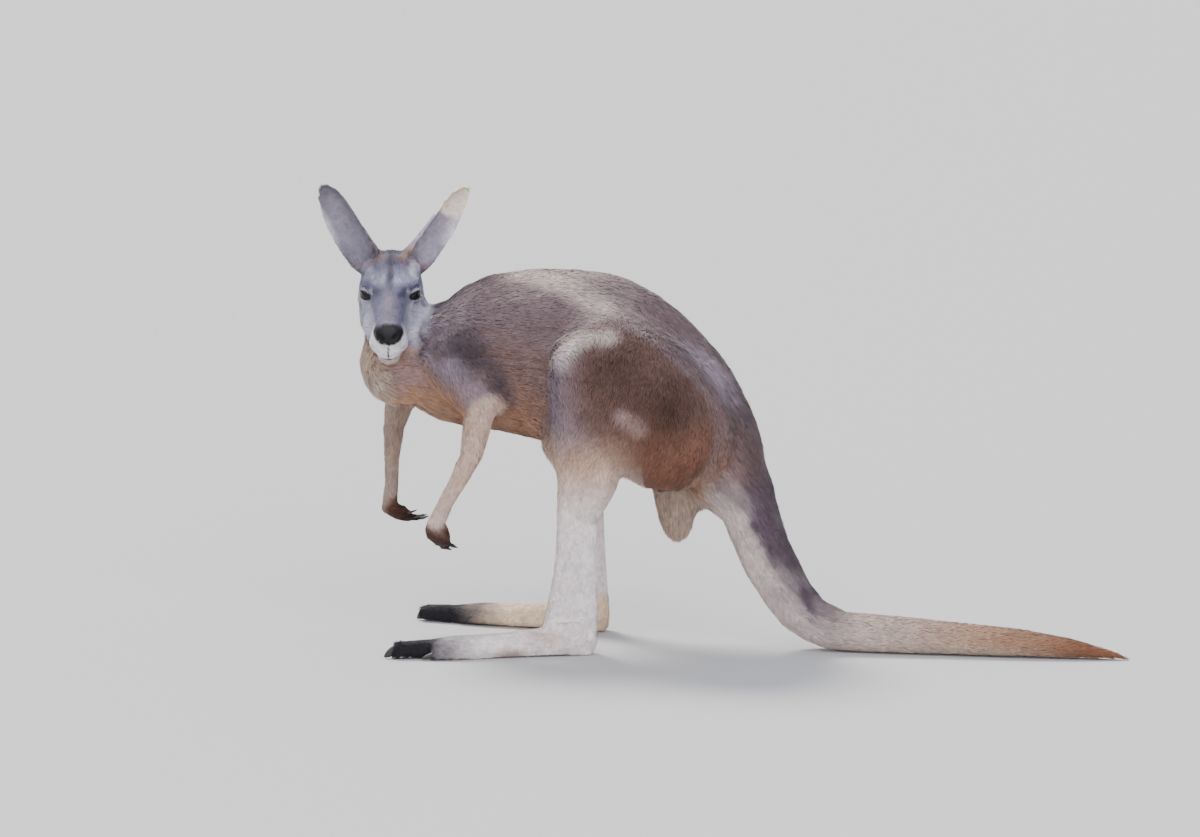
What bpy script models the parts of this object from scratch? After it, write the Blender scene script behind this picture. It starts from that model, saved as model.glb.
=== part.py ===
"""A red kangaroo standing on its hind feet and tail with the head turned to its left: a life-size still model.

Each whole form (body, head, each foot, each hand) is a union of lofted limbs and muscles. Thin cuts then part
the forms into the pieces that a person would name. Lengths are metres, +Z is up and the floor is z = 0. While
it is modelled the animal faces -X, its left side is -Y, and the left heel stands at x = 0. At the end the
whole animal moves so that the origin is the middle of its footprint.
"""

import math

import bmesh
import bpy
from mathutils import Matrix, Vector

# Driving sizes
FOOT_LENGTH = 0.320  # heel to claw tip
HEEL_SPREAD = 0.095  # each heel from the middle plane
HEAD_LENGTH = 0.205  # back of the skull to the nose
EAR_LENGTH = 0.170  # with the root that is inside the head
EYE_RADIUS = 0.0125
HAND_LENGTH = 0.054  # wrist to finger ends, without claws

GAP = 0.0004  # between neighbouring pieces
FLOOR_SINK = 0.002  # how much of each sole the floor takes off, which leaves small flats
LEFT, RIGHT = -1, 1
SIDE_NAMES = {LEFT: "left", RIGHT: "right"}

# Where the joints are
STRIDE = -0.013  # the right leg is this much further forward than the left at its heel
LEAN = 0.065  # and leans forward by this share of its height
HIP_X = 0.15
HEEL = {LEFT: Vector((0.0, -HEEL_SPREAD, 0.0)), RIGHT: Vector((STRIDE, HEEL_SPREAD, 0.0))}
TOE_OUT = {LEFT: math.radians(17), RIGHT: math.radians(8)}
EYE_LINE = Vector((-0.323, -0.037, 0.5485))  # midway between the eyes
HEAD_YAW = math.radians(10.7)  # from facing straight left, back towards the tail
HEAD_PITCH = math.radians(13.5)  # nose down
EYE_AT = Vector((-0.001, 0.0335, 0.001))  # one eyeball in the head's frame: forward, sideways, up

COLOURS = {
    "grey_fur": ((0.30, 0.22, 0.18), 0.85),
    "head_fur": ((0.33, 0.27, 0.25), 0.85),
    "pale_fur": ((0.66, 0.56, 0.47), 0.85),
    "tail_fur": ((0.52, 0.40, 0.30), 0.85),
    "paw_fur": ((0.16, 0.11, 0.08), 0.85),
    "nose_skin": ((0.020, 0.017, 0.018), 0.45),
    "claw": ((0.018, 0.015, 0.014), 0.35),
    "eye": ((0.012, 0.007, 0.005), 0.08),
}


# ---------------------------------------------------------------- shapes


def smooth_path(points, between):
    """The points with Catmull-Rom points between them; each point is any row of numbers."""
    rows = [Vector(p) for p in points]
    rows = [2 * rows[0] - rows[1], *rows, 2 * rows[-1] - rows[-2]]
    made = []
    for a, b, c, d in zip(rows, rows[1:], rows[2:], rows[3:]):
        for k in range(between):
            t = k / between
            made.append(
                0.5
                * (2 * b + (c - a) * t + (2 * a - 5 * b + 4 * c - d) * t**2 + (3 * b - a - 3 * c + d) * t**3)
            )
    return made + [rows[-2]]


def add_ring(bm, centre, across, over, square, roof, points):
    """One closed section. square 2 is an ellipse and more is boxier; roof narrows its upper half."""
    made = []
    for k in range(points):
        angle = 2 * math.pi * k / points
        c, s = math.cos(angle), math.sin(angle)
        reach_c = math.copysign(abs(c) ** (2 / square), c) * (1 - roof * s)
        reach_s = math.copysign(abs(s) ** (2 / square), s)
        made.append(bm.verts.new(centre + across * reach_c + over * reach_s))
    return made


def stitch(bm, loops):
    """Closes a row of equal rings into one surface."""
    points = len(loops[0])
    for ring, after in zip(loops, loops[1:]):
        for k in range(points):
            n = (k + 1) % points
            bm.faces.new((ring[k], ring[n], after[n], after[k]))
    bm.faces.new(loops[0][::-1])
    bm.faces.new(loops[-1])


CAP_RINGS = 4


def add_limb(bm, path, frame=None, side=(0, 1, 0), square=2.0, roof=0.0, between=4, cap=0.8, points=28):
    """A closed tube through rows of (x, y, z, half width, half depth); side is the direction of its width.

    The ends are rounded, and stand out by cap times the smaller half size.
    """
    frame = frame or Matrix.Identity(4)
    rows = smooth_path([(*p[:3], p[3]) for p in path], between)
    depths = smooth_path([(p[4], 0, 0) for p in path], between)
    spots = [frame @ r.to_3d() for r in rows]
    sideways = (frame.to_3x3() @ Vector(side)).normalized()
    sections = []
    upright = Vector((0, 0, 1))
    for i, spot in enumerate(spots):
        along = (spots[min(i + 1, len(spots) - 1)] - spots[max(i - 1, 0)]).normalized()
        across = (sideways - along * sideways.dot(along)).normalized()
        over = across.cross(along)
        if over.dot(upright) < 0:
            over = -over
        upright = over
        sections.append((spot, along, across * rows[i][3], over * depths[i][0]))
    rings = []
    first, last = sections[0], sections[-1]
    for end, turn in ((first, -1), (last, 1)):
        spot, along, across, over = end
        reach = cap * min(across.length, over.length)
        shrink = [math.radians(90 * k / CAP_RINGS) for k in range(1, CAP_RINGS)]
        for angle in shrink:
            centre = spot + turn * along * reach * math.sin(angle)
            rings.append((turn * angle, centre, across * math.cos(angle), over * math.cos(angle)))
    start = sorted((r for r in rings if r[0] < 0), key=lambda r: r[0])
    finish = sorted((r for r in rings if r[0] > 0), key=lambda r: r[0])
    middle = [(0, spot, across, over) for spot, _, across, over in sections]
    rings = start + middle + finish
    stitch(bm, [add_ring(bm, centre, a, o, square, roof, points) for _, centre, a, o in rings])


def add_lump(bm, centre, radii, frame=None, turn=(0, 0, 0), steps=24):
    """An ellipsoid; turn is in degrees about X, Y and Z of the frame."""
    frame = frame or Matrix.Identity(4)
    spin = Matrix.Identity(4)
    for axis, degrees in zip("XYZ", turn):
        spin = Matrix.Rotation(math.radians(degrees), 4, axis) @ spin
    place = frame @ Matrix.Translation(centre) @ spin @ Matrix.Diagonal((*radii, 1))
    bmesh.ops.create_uvsphere(bm, u_segments=steps, v_segments=steps * 2 // 3, radius=1, matrix=place)


def mesh_object(bm, name):
    bmesh.ops.recalc_face_normals(bm, faces=bm.faces)
    mesh = bpy.data.meshes.new(name)
    bm.to_mesh(mesh)
    bm.free()
    obj = bpy.data.objects.new(name, mesh)
    bpy.context.scene.collection.objects.link(obj)
    return obj


def settle(obj):
    """Makes the object's modifiers part of its mesh."""
    bpy.context.view_layer.update()
    evaluated = obj.evaluated_get(bpy.context.evaluated_depsgraph_get())
    mesh = bpy.data.meshes.new_from_object(evaluated)
    old = obj.data
    obj.modifiers.clear()
    obj.data = mesh
    bpy.data.meshes.remove(old)
    return obj


def discard(*objects):
    for obj in objects:
        mesh = obj.data
        bpy.data.objects.remove(obj)
        bpy.data.meshes.remove(mesh)


def fuse(obj, voxel, smoothing):
    """Joins the overlapping shapes of a mesh into one skin and softens where they meet."""
    remesh = obj.modifiers.new("fuse", "REMESH")
    remesh.mode = "VOXEL"
    remesh.voxel_size = voxel
    soften = obj.modifiers.new("soften", "SMOOTH")
    soften.factor = 0.5
    soften.iterations = smoothing
    return settle(obj)


def thin_out(obj, triangles):
    """Leaves about this many triangles."""
    now = sum(len(p.vertices) - 2 for p in obj.data.polygons)
    fewer = obj.modifiers.new("fewer", "DECIMATE")
    fewer.ratio = min(1.0, triangles / now)
    fewer.use_collapse_triangulate = True
    return settle(obj)


def dent(obj, centre, radius, depth):
    """Presses the surface in, or out where depth is negative, round a point."""
    for vertex in obj.data.vertices:
        share = (vertex.co - centre).length / radius
        if share < 1:
            vertex.co -= vertex.normal * depth * (1 - share**2) ** 2


# ---------------------------------------------------------------- cutting


def block(start, direction, reach, half_width, grow=0.0, half_height=None):
    """A box that begins at start, square to direction, and goes on for reach."""
    bm = bmesh.new()
    bmesh.ops.create_cube(bm, size=1)
    along = Vector(direction).normalized()
    turn = along.to_track_quat("Z", "Y").to_matrix().to_4x4()
    size = (2 * half_width, 2 * (half_height or half_width), reach + grow)
    middle = Vector(start) + along * (reach - grow) / 2
    place = Matrix.Translation(middle) @ turn @ Matrix.Diagonal((*size, 1))
    bmesh.ops.transform(bm, matrix=place, verts=bm.verts)
    return mesh_object(bm, "cutter")


def beyond(start, direction, grow=0.0):
    """Everything on the far side of a plane."""
    return block(start, direction, 2.0, 1.5, grow)


def egg(centre, radii, grow=0.0, frame=None):
    bm = bmesh.new()
    add_lump(bm, centre, [r + grow for r in radii], frame, steps=12)
    return mesh_object(bm, "cutter")


def sleeve(path, grow=0.0):
    """A loose tube with level sections round a whole limb: x, y, z, half width, half length."""
    bm = bmesh.new()
    rows = smooth_path([row[:4] for row in path], 2)
    lengths = smooth_path([(row[4], 0, 0) for row in path], 2)
    upwards = math.copysign(grow, path[0][2] - path[-1][2])
    rows[0].z += upwards
    rows[-1].z -= upwards
    loops = []
    for row, length in zip(rows, lengths):
        across = Vector((0, row[3] + grow, 0))
        along = Vector((length[0] + grow, 0, 0))
        loops.append(add_ring(bm, row.to_3d(), across, along, 2.0, 0.0, 16))
    stitch(bm, loops)
    bmesh.ops.triangulate(bm, faces=bm.faces, quad_method="FIXED")
    return mesh_object(bm, "cutter")


def boolean(obj, cutter, operation):
    change = obj.modifiers.new("cut", "BOOLEAN")
    change.operation = operation
    change.object = cutter
    change.solver = "EXACT"
    settle(obj)
    discard(cutter)
    return obj


def copy_of(obj, name):
    made = bpy.data.objects.new(name, obj.data.copy())
    bpy.context.scene.collection.objects.link(made)
    return made


def part_off(whole, name, cutter, **shape):
    """Parts the piece inside a cutter from the whole, leaving a thin gap, and returns the piece."""
    piece = boolean(copy_of(whole, name), cutter(**shape), "INTERSECT")
    boolean(whole, cutter(grow=GAP, **shape), "DIFFERENCE")
    return piece


def trim(obj, cutter, **shape):
    """Takes away what is inside a cutter."""
    return boolean(obj, cutter(**shape), "DIFFERENCE")


def make_room(obj, guest):
    """Cuts the shape of a guest piece, and a thin gap round it, out of an object."""
    cutter = copy_of(guest, "cutter")
    swell = cutter.modifiers.new("swell", "DISPLACE")
    swell.strength = GAP
    swell.mid_level = 0
    settle(cutter)
    return boolean(obj, cutter, "DIFFERENCE")


def drop_crumbs(obj):
    """Keeps the largest connected piece of a cut mesh."""
    bm = bmesh.new()
    bm.from_mesh(obj.data)
    left = set(bm.verts)
    groups = []
    while left:
        group = {left.pop()}
        edge_of = list(group)
        while edge_of:
            vertex = edge_of.pop()
            for edge in vertex.link_edges:
                other = edge.other_vert(vertex)
                if other in left:
                    left.remove(other)
                    group.add(other)
                    edge_of.append(other)
        groups.append(group)
    groups.sort(key=len)
    crumbs = [vertex for group in groups[:-1] for vertex in group]
    bmesh.ops.delete(bm, geom=crumbs, context="VERTS")
    bm.to_mesh(obj.data)
    bm.free()


def finish(obj, colour):
    """Gives a piece its material and smooth shading with creases at its cuts."""
    drop_crumbs(obj)
    tint, roughness = COLOURS[colour]
    material = bpy.data.materials.new(obj.name)
    material.use_nodes = True
    shader = material.node_tree.nodes["Principled BSDF"]
    shader.inputs["Base Color"].default_value = (*tint, 1)
    shader.inputs["Roughness"].default_value = roughness
    shader.inputs["Metallic"].default_value = 0.0
    obj.data.materials.clear()
    obj.data.materials.append(material)
    obj.data.shade_smooth()
    obj.data.set_sharp_from_angle(angle=math.radians(50))
    return obj


# ---------------------------------------------------------------- body

# Rows are x, y, z, half width, half depth. The trunk runs from the chest to the root of the tail.
TRUNK = [
    (-0.340, 0.0, 0.430, 0.052, 0.058),
    (-0.290, 0.0, 0.442, 0.070, 0.079),
    (-0.222, 0.0, 0.443, 0.085, 0.105),
    (-0.155, 0.0, 0.455, 0.099, 0.127),
    (-0.080, 0.0, 0.456, 0.105, 0.137),
    (-0.009, 0.0, 0.444, 0.102, 0.144),
    (0.050, 0.0, 0.425, 0.099, 0.134),
    (0.108, 0.0, 0.393, 0.096, 0.112),
    (0.150, 0.0, 0.350, 0.086, 0.097),
    (0.188, 0.0, 0.300, 0.072, 0.081),
    (0.216, 0.0, 0.255, 0.058, 0.057),
]
TAIL = [
    (0.198, 0.0, 0.288, 0.064, 0.068),
    (0.226, 0.0, 0.246, 0.054, 0.053),
    (0.242, 0.0, 0.207, 0.048, 0.0455),
    (0.257, 0.0, 0.167, 0.0445, 0.0430),
    (0.276, 0.0, 0.128, 0.042, 0.0425),
    (0.298, 0.0, 0.091, 0.040, 0.0400),
    (0.324, 0.0, 0.060, 0.037, 0.037),
    (0.360, 0.0, 0.039, 0.035, 0.034),
    (0.405, 0.0, 0.031, 0.033, 0.032),
    (0.473, 0.0, 0.029, 0.030, 0.031),
    (0.560, 0.0, 0.025, 0.027, 0.028),
    (0.656, 0.0, 0.022, 0.023, 0.025),
    (0.727, 0.0, 0.017, 0.018, 0.0195),
    (0.773, 0.0, 0.011, 0.013, 0.014),
    (0.807, 0.0, 0.0065, 0.008, 0.009),
    (0.826, 0.0, 0.0035, 0.004, 0.0045),
]
NECK = [
    (-0.285, 0.000, 0.452, 0.068, 0.074),
    (-0.316, 0.004, 0.494, 0.056, 0.060),
    (-0.327, 0.014, 0.530, 0.049, 0.049),
    (-0.333, 0.024, 0.560, 0.045, 0.043),
    (-0.334, 0.030, 0.585, 0.040, 0.038),
]
THIGH = [
    (0.154, 0.068, 0.370, 0.050, 0.078),
    (0.095, 0.092, 0.393, 0.067, 0.113),
    (0.035, 0.106, 0.417, 0.062, 0.101),
    (-0.006, 0.112, 0.434, 0.050, 0.080),
]
CALF = [
    (-0.008, 0.114, 0.430, 0.044, 0.052),
    (0.000, 0.112, 0.360, 0.041, 0.055),
    (0.003, 0.108, 0.290, 0.035, 0.052),
    (-0.009, 0.104, 0.235, 0.025, 0.037),
]
SHIN = [
    (-0.016, 0.108, 0.300, 0.026, 0.033),
    (-0.025, 0.104, 0.220, 0.0215, 0.0230),
    (-0.030, 0.101, 0.150, 0.0195, 0.0220),
    (-0.039, 0.099, 0.090, 0.0200, 0.0225),
    (-0.046, 0.097, 0.045, 0.0215, 0.0250),
    (-0.046, 0.096, 0.020, 0.0210, 0.0220),
]
HEEL_CORD = [
    (0.016, 0.106, 0.300, 0.020, 0.030),
    (0.006, 0.103, 0.220, 0.0130, 0.0145),
    (0.003, 0.100, 0.150, 0.0115, 0.0130),
    (0.003, 0.097, 0.090, 0.0125, 0.0130),
    (0.002, 0.095, 0.045, 0.0150, 0.0145),
    (0.000, 0.095, 0.020, 0.0170, 0.0160),
]
LEG_WEB = [
    (0.000, 0.107, 0.290, 0.022, 0.032),
    (-0.010, 0.102, 0.200, 0.0145, 0.023),
    (-0.015, 0.100, 0.120, 0.0135, 0.025),
    (-0.020, 0.096, 0.050, 0.0155, 0.028),
]
# The left arm hangs with its elbow back; the right one reaches forwards.
UPPER_ARM = {
    LEFT: [
        (-0.232, -0.070, 0.475, 0.030, 0.052),
        (-0.200, -0.088, 0.428, 0.031, 0.044),
        (-0.168, -0.098, 0.385, 0.026, 0.031),
    ],
    RIGHT: [
        (-0.250, 0.070, 0.465, 0.030, 0.050),
        (-0.292, 0.086, 0.415, 0.030, 0.040),
        (-0.330, 0.094, 0.378, 0.025, 0.030),
    ],
}
FOREARM = {
    LEFT: [
        (-0.168, -0.099, 0.380, 0.023, 0.026),
        (-0.177, -0.100, 0.335, 0.0200, 0.0220),
        (-0.184, -0.100, 0.305, 0.0178, 0.0188),
        (-0.207, -0.098, 0.262, 0.0137, 0.0145),
        (-0.225, -0.096, 0.230, 0.0136, 0.0135),
        (-0.237, -0.094, 0.204, 0.0140, 0.0155),
    ],
    RIGHT: [
        (-0.334, 0.095, 0.375, 0.024, 0.029),
        (-0.346, 0.093, 0.330, 0.0190, 0.0200),
        (-0.350, 0.088, 0.280, 0.0150, 0.0145),
        (-0.3500, 0.083, 0.230, 0.0135, 0.0125),
        (-0.351, 0.079, 0.200, 0.0140, 0.0150),
    ],
}
SCROTUM = [
    (0.118, 0.0, 0.290, 0.034, 0.046),
    (0.121, 0.0, 0.240, 0.028, 0.038),
    (0.124, 0.0, 0.200, 0.029, 0.034),
    (0.125, 0.0, 0.180, 0.022, 0.024),
]
# Loose tubes that say how much of the body belongs to each leg and arm.
LEG_REGION = [
    (0.042, 0.162, 0.570, 0.026, 0.040),
    (0.056, 0.159, 0.515, 0.052, 0.104),
    (0.068, 0.157, 0.460, 0.072, 0.140),
    (0.078, 0.158, 0.400, 0.084, 0.163),
    (0.076, 0.155, 0.345, 0.084, 0.160),
    (0.046, 0.145, 0.290, 0.080, 0.130),
    (0.004, 0.128, 0.240, 0.084, 0.085),
    (-0.018, 0.115, 0.170, 0.086, 0.072),
    (-0.024, 0.110, 0.000, 0.086, 0.080),
]
ARM_REGION = {
    LEFT: [
        (-0.234, -0.128, 0.525, 0.030, 0.025),
        (-0.222, -0.124, 0.490, 0.045, 0.050),
        (-0.202, -0.123, 0.440, 0.052, 0.066),
        (-0.172, -0.126, 0.385, 0.056, 0.062),
        (-0.182, -0.120, 0.330, 0.056, 0.058),
        (-0.208, -0.108, 0.262, 0.054, 0.056),
        (-0.245, -0.096, 0.150, 0.052, 0.060),
    ],
    RIGHT: [
        (-0.246, 0.130, 0.520, 0.030, 0.025),
        (-0.258, 0.124, 0.485, 0.045, 0.046),
        (-0.286, 0.121, 0.435, 0.052, 0.060),
        (-0.324, 0.126, 0.380, 0.058, 0.056),
        (-0.343, 0.118, 0.325, 0.056, 0.054),
        (-0.350, 0.100, 0.255, 0.054, 0.050),
        (-0.352, 0.090, 0.150, 0.052, 0.050),
    ],
}
KNEE = Vector((0.0, 0.0, 0.292))  # below this plane the leg is the shank
KNEE_DOWN = Vector((-0.36, 0, -0.93))
ANKLE = 0.058  # height
NECK_ROOT = Vector((-0.300, 0, 0.497))
NECK_UP = Vector((-0.78, 0.04, 0.62))
TAIL_CUTS = [  # name, where it starts and which way it goes on
    ("tail_base", "grey_fur", Vector((0.228, 0, 0.262)), Vector((0.45, 0, -0.89))),
    ("tail_middle", "tail_fur", Vector((0.298, 0, 0.092)), Vector((0.65, 0, -0.76))),
    ("tail_end", "tail_fur", Vector((0.560, 0, 0.030)), Vector((1, 0, 0))),
]


def on_side(path, side):
    """The path for one side of the body, from a path given for the right."""
    return [(x, y * side, z, wide, deep) for x, y, z, wide, deep in path]


def stride(path, side):
    """A leg's path for one side; the right leg stands a little further forward, up to its hip."""
    if side == LEFT:
        return on_side(path, side)
    made = []
    for x, y, z, wide, deep in path:
        ahead = (STRIDE - LEAN * min(z, 0.25)) * min(1.0, (HIP_X - x) / 0.15)
        made.append((x + ahead, y, z, wide, deep))
    return made


def body_form():
    """The trunk with the haunches and neck, softened well, and then the thinner limbs, softened less."""
    bm = bmesh.new()
    add_limb(bm, TRUNK, roof=0.10)
    add_limb(bm, TAIL[:6])
    add_limb(bm, NECK)
    for side in (LEFT, RIGHT):
        add_limb(bm, stride(THIGH, side), cap=1.0)
        add_limb(bm, stride(CALF[:3], side))
        add_limb(bm, UPPER_ARM[side])
        knee_at = STRIDE - LEAN * 0.25 if side == RIGHT else 0.0
        add_lump(bm, (knee_at - 0.030, 0.118 * side, 0.462), (0.031, 0.036, 0.038))  # kneecap
        add_lump(bm, (0.120, 0.084 * side, 0.315), (0.080, 0.050, 0.058))  # hamstrings
        add_lump(bm, (0.160, 0.073 * side, 0.352), (0.062, 0.036, 0.080))  # back of the haunch
        add_lump(bm, (0.030, 0.074 * side, 0.494), (0.085, 0.042, 0.043), turn=(0, 8, 0))  # hip point
        add_lump(bm, (-0.052, 0.090 * side, 0.335), (0.028, 0.026, 0.042))  # fold of the flank
        add_lump(bm, (-0.215, 0.055 * side, 0.482), (0.062, 0.032, 0.042), turn=(0, 20, 0))  # shoulder blade
        add_lump(bm, (-0.315, 0.040 * side, 0.425), (0.050, 0.038, 0.052))  # breast
    core = fuse(mesh_object(bm, "core"), voxel=0.006, smoothing=9)
    bm = bmesh.new()
    bm.from_mesh(core.data)
    discard(core)
    add_limb(bm, TAIL, cap=0.9)
    add_limb(bm, SCROTUM)
    for side in (LEFT, RIGHT):
        add_limb(bm, stride(CALF, side))
        add_limb(bm, UPPER_ARM[side][1:], cap=0.9)
        add_limb(bm, FOREARM[side])
        elbow = UPPER_ARM[side][-1]
        add_lump(bm, (elbow[0] + ELBOW_POINT[side], elbow[1], elbow[2]), (0.016, 0.015, 0.017))
        add_shank(bm, side)
    return fuse(mesh_object(bm, "trunk"), voxel=0.005, smoothing=4)


def add_shank(bm, side):
    """The lower leg, down into the heel."""
    for path in (SHIN, HEEL_CORD, LEG_WEB):
        add_limb(bm, stride(path, side))


BODY_TRIANGLES = 1600
ELBOW_POINT = {LEFT: 0.013, RIGHT: 0.012}


def build_body(body, head):
    """The trunk, tail and the upper lengths of the limbs. The jaw lies over the shoulder, which makes room."""
    body = thin_out(body, BODY_TRIANGLES)
    trim(body, beyond, start=(0, 0, FLOOR_SINK - 0.0005), direction=(0, 0, -1))
    trim(body, beyond, start=NECK_ROOT, direction=NECK_UP)
    pieces = []
    for side in (LEFT, RIGHT):
        name = SIDE_NAMES[side]
        leg = part_off(body, f"thigh_{name}", sleeve, path=on_side(LEG_REGION, side))
        trim(leg, beyond, start=(0, 0, ANKLE), direction=(0, 0, -1))
        shank = part_off(leg, f"shank_{name}", beyond, start=KNEE, direction=KNEE_DOWN)
        pieces += [finish(leg, "grey_fur"), finish(shank, "pale_fur")]
        arm = part_off(body, f"upper_arm_{name}", sleeve, path=ARM_REGION[side])
        elbow, below, before, wrist = (Vector(FOREARM[side][k][:3]) for k in (0, 1, -2, -1))
        trim(arm, beyond, start=wrist, direction=wrist - before)
        forearm = part_off(arm, f"forearm_{name}", beyond, start=elbow.lerp(below, 0.4), direction=below - elbow)
        pieces += [finish(arm, "grey_fur"), finish(forearm, "pale_fur")]
    pouch = part_off(body, "scrotum", block, start=(0.118, 0, 0.262), direction=(0.05, 0, -1), reach=0.14,
                     half_width=0.05)
    pieces.append(finish(pouch, "pale_fur"))
    rest = body
    for piece_name, colour, start, direction in TAIL_CUTS:
        rest = part_off(rest, piece_name, beyond, start=start, direction=direction)
        pieces.append(finish(rest, colour))
    make_room(body, head)
    return [finish(body, "grey_fur"), *pieces]


# ---------------------------------------------------------------- feet

# In a foot's own frame: forward from the heel, outward, up.
SOLE = [
    (-0.001, 0.000, 0.024, 0.0180, 0.0260),
    (0.030, 0.000, 0.025, 0.0215, 0.0270),
    (0.080, 0.000, 0.021, 0.0215, 0.0230),
    (0.140, 0.001, 0.018, 0.0225, 0.0200),
    (0.200, 0.002, 0.017, 0.0240, 0.0190),
    (0.236, 0.002, 0.015, 0.0220, 0.0170),
]
INSTEP = [
    (0.010, 0.000, 0.085, 0.0190, 0.0330),
    (0.026, 0.000, 0.050, 0.0210, 0.0300),
    (0.060, 0.000, 0.026, 0.0190, 0.0210),
]
BIG_TOE = [
    (0.200, 0.000, 0.017, 0.0170, 0.0185),
    (0.245, -0.001, 0.0150, 0.0145, 0.0165),
    (0.278, -0.001, 0.0148, 0.0140, 0.0158),
    (0.301, -0.001, 0.0135, 0.0128, 0.0145),
]
OUTER_TOE = [
    (0.150, 0.014, 0.014, 0.0110, 0.0140),
    (0.200, 0.0205, 0.0110, 0.0090, 0.0115),
    (0.232, 0.0225, 0.0095, 0.0080, 0.0100),
    (0.246, 0.0225, 0.0085, 0.0065, 0.0085),
]
COMB_TOE = [
    (0.140, -0.014, 0.018, 0.0080, 0.0110),
    (0.190, -0.0190, 0.0140, 0.0065, 0.0085),
    (0.215, -0.0195, 0.0120, 0.0058, 0.0070),
]
BIG_CLAW = [
    (0.292, -0.001, 0.0200, 0.0080, 0.0075),
    (0.308, -0.001, 0.0150, 0.0075, 0.0085),
    (0.320, -0.001, 0.0080, 0.0046, 0.0055),
    (0.326, -0.001, 0.0042, 0.0016, 0.0020),
]
OUTER_CLAW = [
    (0.238, 0.0228, 0.0120, 0.0042, 0.0046),
    (0.252, 0.0230, 0.0088, 0.0036, 0.0042),
    (0.264, 0.0228, 0.0048, 0.0016, 0.0020),
]
COMB_CLAW = [
    (0.207, -0.0195, 0.0160, 0.0034, 0.0038),
    (0.220, -0.0200, 0.0130, 0.0028, 0.0032),
    (0.230, -0.0200, 0.0085, 0.0012, 0.0014),
]
CLAW_WEAR = {LEFT: 0.85, RIGHT: 0.70}  # the right fourth toe's claw is worn shorter
CLAW_TRIANGLES = 48
FOOT_TRIANGLES = 240


def claw(name, path, frame, triangles, side=(0, 1, 0)):
    """A curved nail; its root sits in the toe."""
    bm = bmesh.new()
    add_limb(bm, path, frame, side=side, between=2, cap=0.6, points=12)
    return thin_out(mesh_object(bm, name), triangles)


def build_foot(side):
    name = SIDE_NAMES[side]
    forward = Vector((-math.cos(TOE_OUT[side]), math.sin(TOE_OUT[side]) * side, 0))
    outward = Vector((math.sin(TOE_OUT[side]), math.cos(TOE_OUT[side]) * side, 0))
    frame = Matrix((forward, outward, Vector((0, 0, 1)))).transposed().to_4x4()
    frame.translation = HEEL[side]
    frame @= Matrix.Scale(FOOT_LENGTH / 0.325, 4)
    bm = bmesh.new()
    add_limb(bm, SOLE, frame, square=2.5)
    add_limb(bm, INSTEP, frame)
    add_limb(bm, BIG_TOE, frame, square=2.3)
    add_limb(bm, OUTER_TOE, frame)
    add_limb(bm, COMB_TOE, frame)
    add_shank(bm, side)
    foot = thin_out(fuse(mesh_object(bm, f"foot_{name}"), voxel=0.0028, smoothing=5), FOOT_TRIANGLES * 2)
    trim(foot, beyond, start=(0, 0, ANKLE - GAP), direction=(0, 0, 1))
    trim(foot, beyond, start=(0, 0, FLOOR_SINK - 0.0005), direction=(0, 0, -1))
    thin_out(foot, FOOT_TRIANGLES)
    root = BIG_CLAW[0][0]
    worn = [(root + (row[0] - root) * CLAW_WEAR[side], *row[1:]) for row in BIG_CLAW]
    claws = [
        claw(f"claw_fourth_toe_{name}", worn, frame, CLAW_TRIANGLES),
        claw(f"claw_fifth_toe_{name}", OUTER_CLAW, frame, CLAW_TRIANGLES),
        claw(f"claw_comb_toe_{name}", COMB_CLAW, frame, CLAW_TRIANGLES),
    ]
    for nail in claws:
        make_room(foot, nail)
    return [finish(foot, "pale_fur"), *(finish(nail, "claw") for nail in claws)]


# ---------------------------------------------------------------- hands

FINGERS = [  # across the palm, length, and how far each spreads sideways
    (-0.0180, 0.80, -0.34),
    (-0.0092, 0.96, -0.14),
    (0.0000, 1.00, 0.00),
    (0.0092, 0.94, 0.13),
    (0.0178, 0.76, 0.32),
]
PALM_SHARE = 0.58  # of the hand's length
FINGER_RADIUS = 0.0046
CLAW_LENGTH = 0.016
HAND_TRIANGLES = 210
NAIL_TRIANGLES = 26
# The way each hand hangs: along the fingers, and out of the back of the hand.
HAND_ALONG = {LEFT: Vector((-0.06, 0.46, -0.88)), RIGHT: Vector((0.85, -0.36, -0.46))}
HAND_BACK = {LEFT: Vector((-0.35, -0.92, -0.18)), RIGHT: Vector((-0.30, -0.25, -0.92))}


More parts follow.
